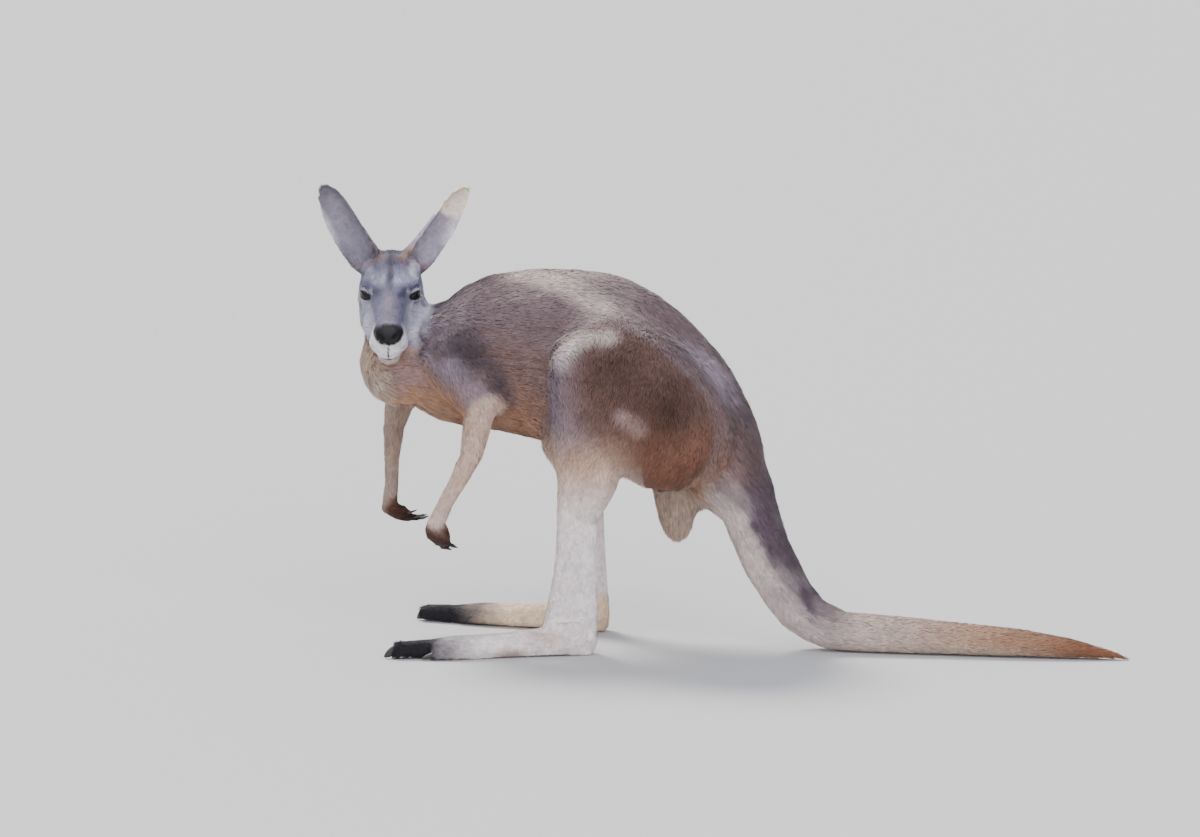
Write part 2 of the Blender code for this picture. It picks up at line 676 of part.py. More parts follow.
def build_hand(side):
    """A palm with five fingers that curl a little, each with its claw."""
    name = SIDE_NAMES[side]
    along = HAND_ALONG[side].normalized()
    back = (HAND_BACK[side] - along * HAND_BACK[side].dot(along)).normalized()
    across = along.cross(back)
    wrist = Vector(FOREARM[side][-1][:3])
    arm = (wrist - Vector(FOREARM[side][-2][:3])).normalized()
    frame = Matrix((along, across, back)).transposed().to_4x4()
    frame.translation = wrist + arm * 0.004
    palm_end = HAND_LENGTH * PALM_SHARE
    palm = [
        (-0.004, 0.0, 0.000, 0.0145, 0.0140),
        (0.008, 0.0, 0.000, 0.0190, 0.0140),
        (palm_end * 0.65, 0.0, -0.001, 0.0225, 0.0130),
        (palm_end, 0.0, -0.002, 0.0222, 0.0105),
    ]
    bm = bmesh.new()
    add_limb(bm, palm, frame, cap=0.7)
    root = wrist - arm * 0.03
    add_limb(bm, [(*root, 0.0118, 0.0118), (*(wrist - arm * 0.012), 0.0122, 0.0128), (*wrist, 0.0125, 0.0135)],
             cap=0.9)
    claws = []
    for number, (offset, share, spread) in enumerate(FINGERS, 1):
        knuckle = Vector((palm_end * 0.75, offset * 0.9, 0.0005))
        end = knuckle + Vector((HAND_LENGTH * share - palm_end * 0.75, spread * 0.014, -0.0120))
        middle = (knuckle + end) / 2 + Vector((0.001, 0, 0.0030))
        finger = [
            (*knuckle, FINGER_RADIUS * 1.15, FINGER_RADIUS * 1.25),
            (*middle, FINGER_RADIUS, FINGER_RADIUS * 1.05),
            (*end, FINGER_RADIUS * 0.86, FINGER_RADIUS * 0.9),
        ]
        add_limb(bm, finger, frame, cap=0.9)
        reach = Vector((CLAW_LENGTH * 0.72, spread * 0.004, -CLAW_LENGTH * 0.55))
        nail = [
            (*(end - reach * 0.10 + Vector((0, 0, 0.0014))), 0.0021, 0.0026),
            (*(end + reach * 0.55 + Vector((0, 0, 0.0010))), 0.0017, 0.0022),
            (*(end + reach - Vector((0, 0, 0.0022))), 0.0006, 0.0008),
        ]
        claws.append(claw(f"claw_finger_{number}_{name}", nail, frame, NAIL_TRIANGLES))
    hand = thin_out(fuse(mesh_object(bm, f"hand_{name}"), voxel=0.0015, smoothing=3), HAND_TRIANGLES)
    trim(hand, beyond, start=wrist + arm * GAP, direction=-arm)
    for nail in claws:
        make_room(hand, nail)
    return [finish(hand, "paw_fur"), *(finish(nail, "claw") for nail in claws)]


# ---------------------------------------------------------------- head

HEAD_UNIT = HEAD_LENGTH / 0.205
# A point where the head is parted from the neck, in the head's frame.
HEAD_CUT = Vector((-0.028, 0.0, -0.060))
HEAD_CUT_UP = Vector((0.43, 0.0, 0.90))
# In the head's own frame, rows are forward from the eyes, sideways, up, half width, half depth.
SKULL = [
    (-0.078, 0.0, 0.000, 0.032, 0.034),
    (-0.060, 0.0, 0.000, 0.0450, 0.045),
    (-0.035, 0.0, -0.006, 0.0515, 0.0490),
    (-0.010, 0.0, -0.012, 0.0480, 0.0490),
    (0.016, 0.0, -0.019, 0.0335, 0.0460),
    (0.044, 0.0, -0.027, 0.0285, 0.0410),
    (0.072, 0.0, -0.034, 0.0270, 0.0370),
    (0.094, 0.0, -0.0385, 0.0265, 0.0330),
    (0.106, 0.0, -0.0395, 0.0230, 0.0275),
]
JAW = [
    (-0.035, 0.0, -0.050, 0.036, 0.026),
    (0.010, 0.0, -0.062, 0.030, 0.020),
    (0.050, 0.0, -0.068, 0.023, 0.0150),
    (0.084, 0.0, -0.0700, 0.0185, 0.0125),
    (0.096, 0.0, -0.0690, 0.0150, 0.0100),
]
NOSE_AT = Vector((0.1170, 0.0, -0.0215))
NOSE_RADII = (0.0190, 0.0262, 0.0165)
# Each ear in the head's frame: its root, the way it points, and the way its hollow faces.
EAR_ROOT = {LEFT: Vector((-0.050, 0.011, 0.012)), RIGHT: Vector((-0.050, -0.016, 0.012))}
EAR_ALONG = {LEFT: Vector((-0.16, 0.655, 0.79)), RIGHT: Vector((-0.165, -0.545, 0.825))}
EAR_FACES = {LEFT: Vector((0.72, 0.70, 0.10)), RIGHT: Vector((0.97, -0.22, 0.10))}
EAR_BOW = {LEFT: 0.017, RIGHT: 0.011}  # how far the middle of the ear curves outwards
EAR_REACH = {LEFT: 1.05, RIGHT: 1.0}
# Half width and sweep of the ear's curl, in degrees, at shares of its length.
EAR_OUTLINE = [
    (0.00, 0.0150, 290),
    (0.11, 0.0215, 255),
    (0.23, 0.0255, 215),
    (0.36, 0.0268, 180),
    (0.50, 0.0268, 160),
    (0.65, 0.0256, 145),
    (0.78, 0.0228, 130),
    (0.89, 0.0172, 120),
    (0.965, 0.0095, 110),
]
EAR_THICKNESS = 0.0034
EAR_COLUMNS = 7
HEAD_TRIANGLES = 920


def head_frame():
    """Axes: forward, to the animal's left, up; the origin is midway between the eyes."""
    yaw = Matrix.Rotation(HEAD_YAW, 4, "Z")
    pitch = Matrix.Rotation(HEAD_PITCH, 4, "X")
    facing_left = Matrix(((0, 1, 0, 0), (-1, 0, 0, 0), (0, 0, 1, 0), (0, 0, 0, 1)))
    return Matrix.Translation(EYE_LINE) @ yaw @ pitch @ facing_left @ Matrix.Scale(HEAD_UNIT, 4)


def ear(side):
    """A leaf-shaped cup: an open curled sheet with Solidify."""
    along = EAR_ALONG[side].normalized()
    faces = (EAR_FACES[side] - along * EAR_FACES[side].dot(along)).normalized()
    across = along.cross(faces)
    outward = Vector((0, -side, 0))
    outward = (outward - along * outward.dot(along)).normalized()
    length = EAR_LENGTH * EAR_REACH[side]
    bm = bmesh.new()
    rows = []
    for share, half_width, sweep, _ in smooth_path([(*row, 0) for row in EAR_OUTLINE], 1):
        half_sweep = math.radians(sweep) / 2
        radius = half_width / (math.sin(half_sweep) if half_sweep < math.pi / 2 else 1)
        bend = math.sin(math.pi * share)
        spine = EAR_ROOT[side] + along * length * share + (outward * EAR_BOW[side] - faces * 0.010) * bend
        row = []
        for k in range(EAR_COLUMNS + 1):
            angle = (2 * k / EAR_COLUMNS - 1) * half_sweep
            spot = across * radius * math.sin(angle) - faces * radius * math.cos(angle)
            row.append(bm.verts.new(spine + spot))
        rows.append(row)
    tip = bm.verts.new(EAR_ROOT[side] + along * length * 1.002)
    for row, after in zip(rows, rows[1:]):
        for k in range(EAR_COLUMNS):
            bm.faces.new((row[k], row[k + 1], after[k + 1], after[k]))
    for k in range(EAR_COLUMNS):
        bm.faces.new((rows[-1][k], rows[-1][k + 1], tip))
    bmesh.ops.transform(bm, matrix=head_frame(), verts=bm.verts)
    made = mesh_object(bm, f"ear_{SIDE_NAMES[side]}")
    shell = made.modifiers.new("shell", "SOLIDIFY")
    shell.thickness = EAR_THICKNESS
    shell.offset = 0
    shell.use_even_offset = False
    return settle(made)


def head_form(body):
    """The head on its neck, down to where the neck leaves the body."""
    frame = head_frame()
    collar = copy_of(body, "collar")
    trim(collar, beyond, start=NECK_ROOT + NECK_UP.normalized() * 2 * GAP, direction=-NECK_UP)
    bm = bmesh.new()
    bm.from_mesh(collar.data)
    discard(collar)
    add_limb(bm, SKULL, frame, square=2.25, cap=0.75)
    add_limb(bm, JAW, frame, square=2.2)
    add_lump(bm, (0.101, 0.0, -0.0235), (0.018, 0.0262, 0.0175), frame)  # nose
    add_lump(bm, (0.040, 0.0, 0.001), (0.060, 0.017, 0.016), frame, (0, 14, 0))  # bridge of the nose
    add_lump(bm, (-0.045, 0.0, 0.027), (0.034, 0.030, 0.023), frame)  # crown
    for side in (LEFT, RIGHT):
        # The brow, then the cheekbone.
        add_lump(bm, (-0.012, 0.030 * side, 0.0165), (0.022, 0.0150, 0.0110), frame, (0, 4, -14 * side))
        add_lump(bm, (-0.016, 0.038 * side, -0.018), (0.034, 0.0115, 0.0115), frame, (0, 6, -22 * side))
        add_lump(bm, (-0.030, 0.032 * side, -0.040), (0.038, 0.0200, 0.036), frame)  # cheek
        add_lump(bm, (0.006, 0.025 * side, -0.048), (0.036, 0.0175, 0.026), frame)  # jowl
        add_lump(bm, (0.088, 0.0150 * side, -0.0430), (0.022, 0.0145, 0.0190), frame)  # lip
        add_lump(bm, (-0.050, 0.026 * side, 0.020), (0.024, 0.0220, 0.022), frame)  # root of the ear
        lids = (EYE_AT.x, EYE_AT.y * side, EYE_AT.z)
        add_lump(bm, lids, (EYE_RADIUS * 1.38, EYE_RADIUS * 0.93, EYE_RADIUS * 1.10), frame, (0, 0, -40 * side))
    form = fuse(mesh_object(bm, "head"), voxel=0.0022, smoothing=8)
    for side in (LEFT, RIGHT):
        # The inner corner of the eye.
        dent(form, frame @ Vector((0.020, 0.027 * side, 0.000)), 0.015 * HEAD_UNIT, 0.0025)
        dent(form, frame @ Vector((0.056, 0.027 * side, -0.022)), 0.026 * HEAD_UNIT, 0.0018)
    return thin_out(form, HEAD_TRIANGLES)


def build_head(body):
    """The neck, and the head with its nose, eyes and ears."""
    frame = head_frame()
    head = head_form(body)
    turn = frame.to_3x3()
    neck = part_off(head, "neck", beyond, start=frame @ HEAD_CUT, direction=turn @ -HEAD_CUT_UP)
    trim(neck, beyond, start=NECK_ROOT + NECK_UP.normalized() * 3 * GAP, direction=-NECK_UP)
    nose = part_off(head, "nose", egg, centre=NOSE_AT, radii=NOSE_RADII, frame=frame)
    pieces = [finish(neck, "head_fur"), finish(nose, "nose_skin")]
    for side in (LEFT, RIGHT):
        bm = bmesh.new()
        spot = Vector((EYE_AT.x, EYE_AT.y * -side, EYE_AT.z))
        bmesh.ops.create_uvsphere(bm, u_segments=12, v_segments=8, radius=EYE_RADIUS,
                                  matrix=frame @ Matrix.Translation(spot))
        eye = mesh_object(bm, f"eye_{SIDE_NAMES[side]}")
        make_room(head, eye)
        pieces.append(finish(eye, "eye"))
        flap = ear(side)
        make_room(flap, head)
        pieces.append(finish(flap, "head_fur"))
    return [finish(head, "head_fur"), *pieces]


# ---------------------------------------------------------------- the whole animal


def stand_on_origin(pieces):
    """Moves the animal so that the middle of its footprint is the origin and its lowest flats are the floor."""
    corners = [vertex.co for piece in pieces for vertex in piece.data.vertices]
    low = Vector([min(c[i] for c in corners) for i in range(3)])
    high = Vector([max(c[i] for c in corners) for i in range(3)])
    shift = Matrix.Translation((-(low.x + high.x) / 2, -(low.y + high.y) / 2, -low.z))
    for piece in pieces:
        piece.data.transform(shift)


def main():
    for obj in list(bpy.data.objects):
        bpy.data.objects.remove(obj)
    body = body_form()
    head, *pieces = build_head(body)
    pieces += [head, *build_body(body, head)]
    for side in (LEFT, RIGHT):
        pieces += build_foot(side) + build_hand(side)
    stand_on_origin(pieces)
    group = bpy.data.collections.new("kangaroo")
    bpy.context.scene.collection.children.link(group)
    for piece in pieces:
        bpy.context.scene.collection.objects.unlink(piece)
        group.objects.link(piece)


main()
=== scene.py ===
"""The looks of a life-size red kangaroo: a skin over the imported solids, short fur, eyes and claws."""

import itertools
import math

import bmesh
import bpy
import numpy as np
from mathutils import Matrix, Vector


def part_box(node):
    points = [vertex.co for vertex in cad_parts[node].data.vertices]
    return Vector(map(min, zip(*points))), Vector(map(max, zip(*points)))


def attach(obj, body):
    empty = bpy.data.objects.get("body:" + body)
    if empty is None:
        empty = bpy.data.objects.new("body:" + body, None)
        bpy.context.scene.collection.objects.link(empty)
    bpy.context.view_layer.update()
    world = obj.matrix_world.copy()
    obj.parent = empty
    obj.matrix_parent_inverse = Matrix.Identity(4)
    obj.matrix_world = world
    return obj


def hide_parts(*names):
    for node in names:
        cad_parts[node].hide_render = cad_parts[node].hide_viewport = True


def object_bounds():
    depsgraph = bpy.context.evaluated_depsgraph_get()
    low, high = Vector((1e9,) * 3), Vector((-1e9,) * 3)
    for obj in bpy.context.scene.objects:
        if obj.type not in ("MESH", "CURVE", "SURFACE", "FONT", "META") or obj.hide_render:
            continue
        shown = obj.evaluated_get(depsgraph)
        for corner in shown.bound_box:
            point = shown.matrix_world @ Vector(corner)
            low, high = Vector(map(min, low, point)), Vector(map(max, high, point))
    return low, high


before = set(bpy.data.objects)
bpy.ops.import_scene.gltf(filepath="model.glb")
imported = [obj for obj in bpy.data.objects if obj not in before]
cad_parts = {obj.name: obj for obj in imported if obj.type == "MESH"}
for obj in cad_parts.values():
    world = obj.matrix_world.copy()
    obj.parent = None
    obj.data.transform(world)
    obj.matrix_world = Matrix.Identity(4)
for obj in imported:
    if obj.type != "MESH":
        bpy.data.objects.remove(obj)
solid_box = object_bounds()

SEED = 7
SIDES = {"left": -1, "right": 1}
CLAWS = [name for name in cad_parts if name.startswith("claw_")]
EYES = ["eye_left", "eye_right"]
FLESH = [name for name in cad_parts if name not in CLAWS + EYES]

# ---- places, read from the frame


def at(node, fx, fy, fz):
    """A point at these shares of a node's box."""
    low, high = (np.array(corner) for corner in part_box(node))
    return low + np.array((fx, fy, fz)) * (high - low)


def middle(node):
    return at(node, 0.5, 0.5, 0.5)


def x_at(node, share):
    return at(node, share, 0, 0)[0]


def z_at(node, share):
    return at(node, 0, 0, share)[2]


def path(node, *shares):
    """A line through the points at these shares of a node's box."""
    return [at(node, *share) for share in shares]


def unit(vector):
    vector = np.asarray(vector, float)
    return vector / np.linalg.norm(vector, axis=-1, keepdims=True)


EYE_POINTS = {side: middle(f"eye_{side}") for side in SIDES}
BETWEEN_EYES = (EYE_POINTS["left"] + EYE_POINTS["right"]) / 2
EYE_RADIUS = (z_at("eye_left", 1) - z_at("eye_left", 0)) / 2
NOSE = middle("nose")
BODY_MIDDLE = middle("tail_end")[1]

# The head's own axes: to its left, forward along the muzzle, and up. The nose is below the eyes by NOSE_DROP.
NOSE_DROP = 0.2
HEAD_SIDE = unit(EYE_POINTS["left"] - EYE_POINTS["right"])
to_nose = NOSE - BETWEEN_EYES
to_nose = unit(to_nose - HEAD_SIDE * (to_nose @ HEAD_SIDE))
HEAD_RISE = unit(np.cross(to_nose, HEAD_SIDE))
HEAD_FRONT = unit(to_nose + HEAD_RISE * NOSE_DROP)
HEAD_UP = np.cross(HEAD_FRONT, HEAD_SIDE)
MUZZLE = float((NOSE - BETWEEN_EYES) @ HEAD_FRONT)
NOSE_UP = float((NOSE - BETWEEN_EYES) @ HEAD_UP)
NOSE_LOW = NOSE_UP - 0.014


def in_head(points):
    """Forward, to the animal's left, and up from the point between the eyes."""
    away = points - BETWEEN_EYES
    return away @ HEAD_FRONT, away @ HEAD_SIDE, away @ HEAD_UP


def from_head(front, side, up):
    return BETWEEN_EYES + HEAD_FRONT * front + HEAD_SIDE * side + HEAD_UP * up


def hand_line(side):
    """Wrist and finger tips: the left hand hangs straight down and the right one points backwards."""
    if side == "left":
        return path("hand_left", (0.5, 0.5, 1.0), (0.5, 0.8, 0.0))
    return path("hand_right", (0.1, 0.8, 0.7), (1.0, 0.2, 0.0))


SHOULDER_AT = {"left": 0.35, "right": 0.75}  # the shoulder's place along x in the upper arm's box


def ear_line(side, start):
    """From this share of the ear's height, through its middle, to its tip. The ears lean apart."""
    root = 0.2 if side == "left" else 0.8
    return path(f"ear_{side}", (root, 0.5, start), (0.5, 0.5, 0.5), (1 - root, 0.5, 1.0))


def from_outside(side, share):
    """A share of a box's width, counted from the outer face of the animal on this side."""
    return share if side == "left" else 1 - share


# ---- sums that many sections use

FAR_AWAY = 9.0


def size_of(vectors):
    return np.linalg.norm(vectors, axis=1)


def ramp(low, high, value):
    """From 0 at low to 1 at high, smoothly. It falls where low is the larger."""
    share = np.clip((value - low) / (high - low), 0, 1)
    return share * share * (3 - 2 * share)


def bump(centre, width, value):
    """1 at the centre, falling smoothly to 0 at this distance."""
    return 1 - ramp(0, 1, np.abs(value - centre) / width)


def beside(points, start, end):
    """Each point's place along a straight stretch, from 0 to 1, and its offset from there."""
    run = end - start
    share = np.clip((points - start) @ run / (run @ run), 0, 1)
    return share, points - start - share[:, None] * run


def distance_to(points, line):
    best = np.full(len(points), FAR_AWAY)
    line = np.array(line)
    for start, end in zip(line, line[1:]):
        best = np.minimum(best, size_of(beside(points, start, end)[1]))
    return best


def near(points, line, inner, outer):
    """1 within the inner distance of a line, falling to 0 at the outer."""
    return 1 - ramp(inner, outer, distance_to(points, line))


NOISE_CELLS = 32
NOISE_GRID = np.random.default_rng(SEED).random((NOISE_CELLS, NOISE_CELLS, NOISE_CELLS))


def noise(points, size):
    """Smooth noise from 0 to 1 with features of this size in metres."""
    scaled = points / size
    cell = np.floor(scaled).astype(int)
    part = scaled - cell
    part = part * part * (3 - 2 * part)
    total = 0
    for corner in itertools.product((0, 1), repeat=3):
        value = NOISE_GRID[tuple((cell + corner).T % NOISE_CELLS)]
        total = total + value * np.where(corner, part, 1 - part).prod(axis=1)
    return total


def add_object(name, data):
    obj = bpy.data.objects.new(name, data)
    bpy.context.scene.collection.objects.link(obj)
    return obj


def mesh_from(bm, name):
    """A mesh made from a bmesh, which is freed."""
    mesh = bpy.data.meshes.new(name)
    bm.to_mesh(mesh)
    bm.free()
    return mesh


# ---- guide lines: the lie and length of the coat

# Each coat: depth of the skin under the solids' surface, length of a tuft and its width, in metres.
COATS = {
    "face": (0.0018, 0.0056, 0.0009),
    "crown": (0.0026, 0.0085, 0.0011),
    "neck": (0.004, 0.013, 0.0012),
    "trunk": (0.0042, 0.0145, 0.0013),
    "haunch": (0.0042, 0.013, 0.0013),
    "sac": (0.0045, 0.015, 0.0012),
    "arm": (0.0034, 0.011, 0.0012),
    "shin": (0.0022, 0.008, 0.0011),
    "foot": (0.0019, 0.0065, 0.001),
    "hand": (0.0016, 0.0048, 0.0009),
    "tail": (0.0034, 0.0115, 0.0012),
    "ear": (0.0009, 0.0042, 0.0008),
}


def leg_guides(side):
    thigh, shank, foot = f"thigh_{side}", f"shank_{side}", f"foot_{side}"
    return [
        ("haunch", path(thigh, (0.62, 0.5, 0.98), (0.55, 0.5, 0.6), (0.36, 0.5, 0.22)), 0.075),
        ("haunch", path(thigh, (0.8, 0.5, 0.8), (0.85, 0.5, 0.35), (0.62, 0.5, 0.02)), 0.06),
        ("shin", [at(thigh, 0.32, 0.5, 0.12), *path(shank, (0.55, 0.5, 0.62), (0.55, 0.5, 0.02))], 0.04),
        ("foot", [at(shank, 0.5, 0.5, 0.0), *path(foot, (0.8, 0.25, 0.4), (0.4, 0.5, 0.3))], 0.03),
        ("foot", path(foot, (0.4, 0.5, 0.3), (0.0, 0.85, 0.2)), 0.025),
    ]


def arm_guides(side):
    upper, fore = f"upper_arm_{side}", f"forearm_{side}"
    wrist, tips = hand_line(side)
    elbow = at(upper, 0.68 if side == "left" else 0.22, 0.5, 0.0)
    return [
        ("arm", [at(upper, SHOULDER_AT[side], 0.5, 0.9), elbow], 0.045),
        ("arm", [elbow, middle(fore)], 0.024),
        ("shin", [middle(fore), wrist], 0.02),
        ("hand", [wrist, tips], 0.02),
    ]


def all_guides():
    """Rows of kind, points in the order that the hair lies, and radius."""
    nape, tail_bend = from_head(-0.085, 0, 0.0), at("tail_middle", 0.16, 0.5, 0.55)
    guides = [
        ("face", [from_head(MUZZLE * 1.1, 0, -0.02), from_head(0.03, 0, 0.0)], 0.035),
        ("face", [from_head(MUZZLE, 0, -0.065), from_head(0.02, 0, -0.06)], 0.03),
        ("crown", [from_head(0.02, 0, 0.0), from_head(-0.05, 0, 0.02), nape], 0.045),
        ("crown", [from_head(0.02, 0, -0.06), from_head(-0.05, 0, -0.055)], 0.04),
        ("neck", [nape, middle("neck"), at("trunk", 0.14, 0.5, 0.55)], 0.06),
        ("neck", [middle("neck"), at("neck", 0.3, 0.5, 0.0), at("trunk", 0.1, 0.5, 0.28)], 0.06),
        ("trunk", path("trunk", (0.14, 0.5, 0.58), (0.35, 0.5, 0.62), (0.6, 0.5, 0.6)), 0.11),
        ("trunk", path("trunk", (0.6, 0.5, 0.6), (0.82, 0.5, 0.45), (0.97, 0.5, 0.1)), 0.1),
        ("tail", [*path("tail_base", (0.25, 0.5, 0.9), (0.6, 0.5, 0.35)), tail_bend], 0.05),
        ("tail", [tail_bend, at("tail_middle", 0.45, 0.5, 0.25), at("tail_end", 1, 0.5, 0.3)], 0.04),
        ("sac", path("scrotum", (0.5, 0.5, 1.0), (0.5, 0.5, 0.0)), 0.04),
    ]
    for side in SIDES:
        guides += leg_guides(side) + arm_guides(side) + [("ear", ear_line(side, 0.12), 0.03)]
    return guides


def coat_fields(points):
    """Lie of the hair, and depth, length and width of the coat, blended from the nearest guide lines."""
    lie = np.zeros((len(points), 3))
    sizes = np.zeros((len(points), 3))
    total = np.zeros(len(points))
    for kind, line, radius in all_guides():
        line = np.array(line)
        for start, end in zip(line, line[1:]):
            away = size_of(beside(points, start, end)[1])
            weight = (radius / (away + radius * 0.2)) ** 5
            lie += weight[:, None] * unit(end - start)
            sizes += weight[:, None] * np.array(COATS[kind])
            total += weight
    return lie / total[:, None], sizes / total[:, None]


# ---- the skin

SKIN_VOXEL = 0.0024
OVERLAP = 0.0012  # each solid swells by this, so that the thin gaps between solids close
SKIN_FACES = 0.36  # share of the remeshed faces kept away from the head and hands
WELD = 0.00002  # corners this close are one


def settle(obj):
    """Applies an object's modifiers."""
    graph = bpy.context.evaluated_depsgraph_get()
    mesh = bpy.data.meshes.new_from_object(obj.evaluated_get(graph))
    obj.modifiers.clear()
    old = obj.data
    obj.data = mesh
    bpy.data.meshes.remove(old)
    return obj


def read_vectors(items, kind):
    """A row of three numbers for each vertex or face."""
    flat = np.empty(len(items) * 3)
    items.foreach_get(kind, flat)
    return flat.reshape(-1, 3)


def points_of(mesh):
    return read_vectors(mesh.vertices, "co")


def normals_of(mesh):
    return read_vectors(mesh.vertices, "normal")


def put_points(mesh, points):
    mesh.vertices.foreach_set("co", points.ravel())
    mesh.update()


def joined_flesh():
    """All flesh solids as one object, each swollen a little."""
    bm = bmesh.new()
    for name in FLESH:
        start = len(bm.verts)
        bm.from_mesh(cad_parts[name].data)
        bm.verts.ensure_lookup_table()
        bmesh.ops.remove_doubles(bm, verts=bm.verts[start:], dist=WELD)
    bm.normal_update()
    for vertex in bm.verts:
        vertex.co += vertex.normal * OVERLAP
    return add_object("skin", mesh_from(bm, "skin"))


def remesh_skin(skin):
    """One closed surface, even at first, then coarser where there is little detail."""
    remesh = skin.modifiers.new("one", "REMESH")
    remesh.mode = "VOXEL"
    remesh.voxel_size = SKIN_VOXEL
    soften = skin.modifiers.new("soften", "SMOOTH")
    soften.factor = 0.5
    soften.iterations = 3
    settle(skin)
    points = points_of(skin.data)
    front, side, up = in_head(points)
    fine = (size_of(np.stack((front * 0.7, side, up), 1)) < 0.085) | (up > 0.03)
    for side in SIDES:
        fine |= size_of(points - middle(f"hand_{side}")) < 0.05
    group = skin.vertex_groups.new(name="coarse")
    group.add([int(k) for k in np.flatnonzero(~fine)], 1.0, "REPLACE")
    thin = skin.modifiers.new("thin", "DECIMATE")
    thin.ratio = SKIN_FACES
    thin.vertex_group = "coarse"
    settle(skin)
    skin.vertex_groups.clear()


def relax(mesh, points, weight, rounds):
    """Moves points towards the middle of their neighbours, as far as weight says."""
    edges = np.empty(len(mesh.edges) * 2, dtype=np.int64)
    mesh.edges.foreach_get("vertices", edges)
    first, second = edges[0::2], edges[1::2]
    count = np.bincount(first, minlength=len(points)) + np.bincount(second, minlength=len(points))
    for _ in range(rounds):
        total = np.zeros_like(points)
        for axis in range(3):
            total[:, axis] = np.bincount(first, points[second, axis], len(points))
            total[:, axis] += np.bincount(second, points[first, axis], len(points))
        points = points + weight[:, None] * (total / count[:, None] - points)
    return points


def haunch_edge(side):
    """The haunch's outline seen from the side: a loop of x and z, in order round its front, top and back."""
    shares = [(0.045, 0.3), (0.01, 0.55), (0.02, 0.75), (0.13, 0.9), (0.27, 0.995), (0.45, 0.985),
              (0.63, 0.91), (0.8, 0.76), (0.93, 0.58), (0.985, 0.38), (0.93, 0.18), (0.82, 0.03)]
    return np.array([at(f"thigh_{side}", fx, 0.5, fz)[[0, 2]] for fx, fz in shares])


def smooth_line(points, steps):
    """More points along a line, through its own points."""
    made = []
    for k in range(len(points) - 1):
        p0, p1, p2 = points[max(k - 1, 0)], points[k], points[k + 1]
        p3 = points[min(k + 2, len(points) - 1)]
        for step in range(steps):
            t = step / steps
            made.append(0.5 * (2 * p1 + (p2 - p0) * t + (2 * p0 - 5 * p1 + 4 * p2 - p3) * t**2
                               + (3 * p1 - p0 - 3 * p2 + p3) * t**3))
    made.append(points[-1])
    return np.array(made)


def side_of_line(points, line):
    """Distance from a line drawn in the side view, positive to the left of it, and how far along it."""
    flat = points[:, [0, 2]]
    best = np.full(len(flat), FAR_AWAY)
    signed = np.zeros(len(flat))
    passed = np.zeros(len(flat))
    for number, (start, end) in enumerate(zip(line, line[1:])):
        share, gap = beside(flat, start, end)
        run = end - start
        away = size_of(gap)
        cross = run[0] * gap[:, 1] - run[1] * gap[:, 0]
        nearer = away < best
        best = np.where(nearer, away, best)
        signed = np.where(nearer, np.sign(cross) * away, signed)
        passed = np.where(nearer, (number + share) / (len(line) - 1), passed)
    return signed, passed


def crease(points, normals, line, strength, depth, reach, keep):
    """Presses the skin in beyond a line drawn in the side view, steeply at the line and then fading out."""
    away, passed = side_of_line(points, smooth_line(line, 6))
    depth = depth * np.interp(passed, np.linspace(0, 1, len(strength)), strength)
    press = ramp(-0.007, 0.01, away) * (1 - ramp(0.01, reach, away)) * depth
    swell = bump(-0.014, 0.018, away) * depth * 0.25
    facing = ramp(0.25, 0.6, np.abs(normals[:, 1])) * keep
    return points - normals * ((press - swell) * facing)[:, None]


HAUNCH_CREASE = 0.0062
ARM_CREASE = 0.006
HAUNCH_STRENGTH = (0.4, 0.4, 0.4, 0.4, 0.2, 0.0, 0.0, 0.0, 0.15, 0.4, 0.6, 0.5)
ARM_STRENGTH = (0.1, 0.6, 0.9, 1.0)
CLEAR_OF_MIDDLE = 0.03  # a mark on one side of the body stays this far from y = 0
LEG_TOP = 0.2


def muscle_lines(points, normals):
    """The haunch stands proud of the flank and the tail's root, and the shoulder of the chest."""
    for side, way in SIDES.items():
        keep = (points[:, 1] * way > CLEAR_OF_MIDDLE) * (points[:, 2] > LEG_TOP)
        points = crease(points, normals, haunch_edge(side), HAUNCH_STRENGTH, HAUNCH_CREASE, 0.055, keep)
        upper = f"upper_arm_{side}"
        back = [(0.6, 0.9), (0.8, 0.6), (0.97, 0.3), (1.02, 0.05)]
        line = np.array([at(upper, fx, 0.5, fz)[[0, 2]] for fx, fz in back])
        keep = (points[:, 1] * way > CLEAR_OF_MIDDLE) * (points[:, 0] < at(upper, 1.6, 0.5, 0.5)[0])
        points = crease(points, normals, line, ARM_STRENGTH, ARM_CREASE, 0.035, keep)
    return points


EYE_TURN = 0.6  # how far each eye looks forwards, from 0 straight out to 1 straight ahead
EYE_INNER = 0.84  # the opening's reach to its corners and its half height, as angles at the eye's middle
EYE_OUTER = 1.05
EYE_HIGH = 0.4
EYE_CORNER = 1.6
SOCKET_RISE = 0.085
SOCKET = 1.03  # the socket's radius, as a share of the eye's
LID_REACH = 1.6  # how far out from the opening the skin is sunk, on the scale of eye_opening


def eye_axes(side):
    """Along the opening towards the nose, straight out of the eye, and up."""
    away = HEAD_SIDE * -SIDES[side]
    out = unit(away * (1 - EYE_TURN) + HEAD_FRONT * EYE_TURN * 0.9)
    along = unit(-away - HEAD_UP * 0.1)
    along = unit(along - out * (along @ out))
    rise = np.cross(out, along)
    return along, out, rise * (1 if rise @ HEAD_UP > 0 else -1)


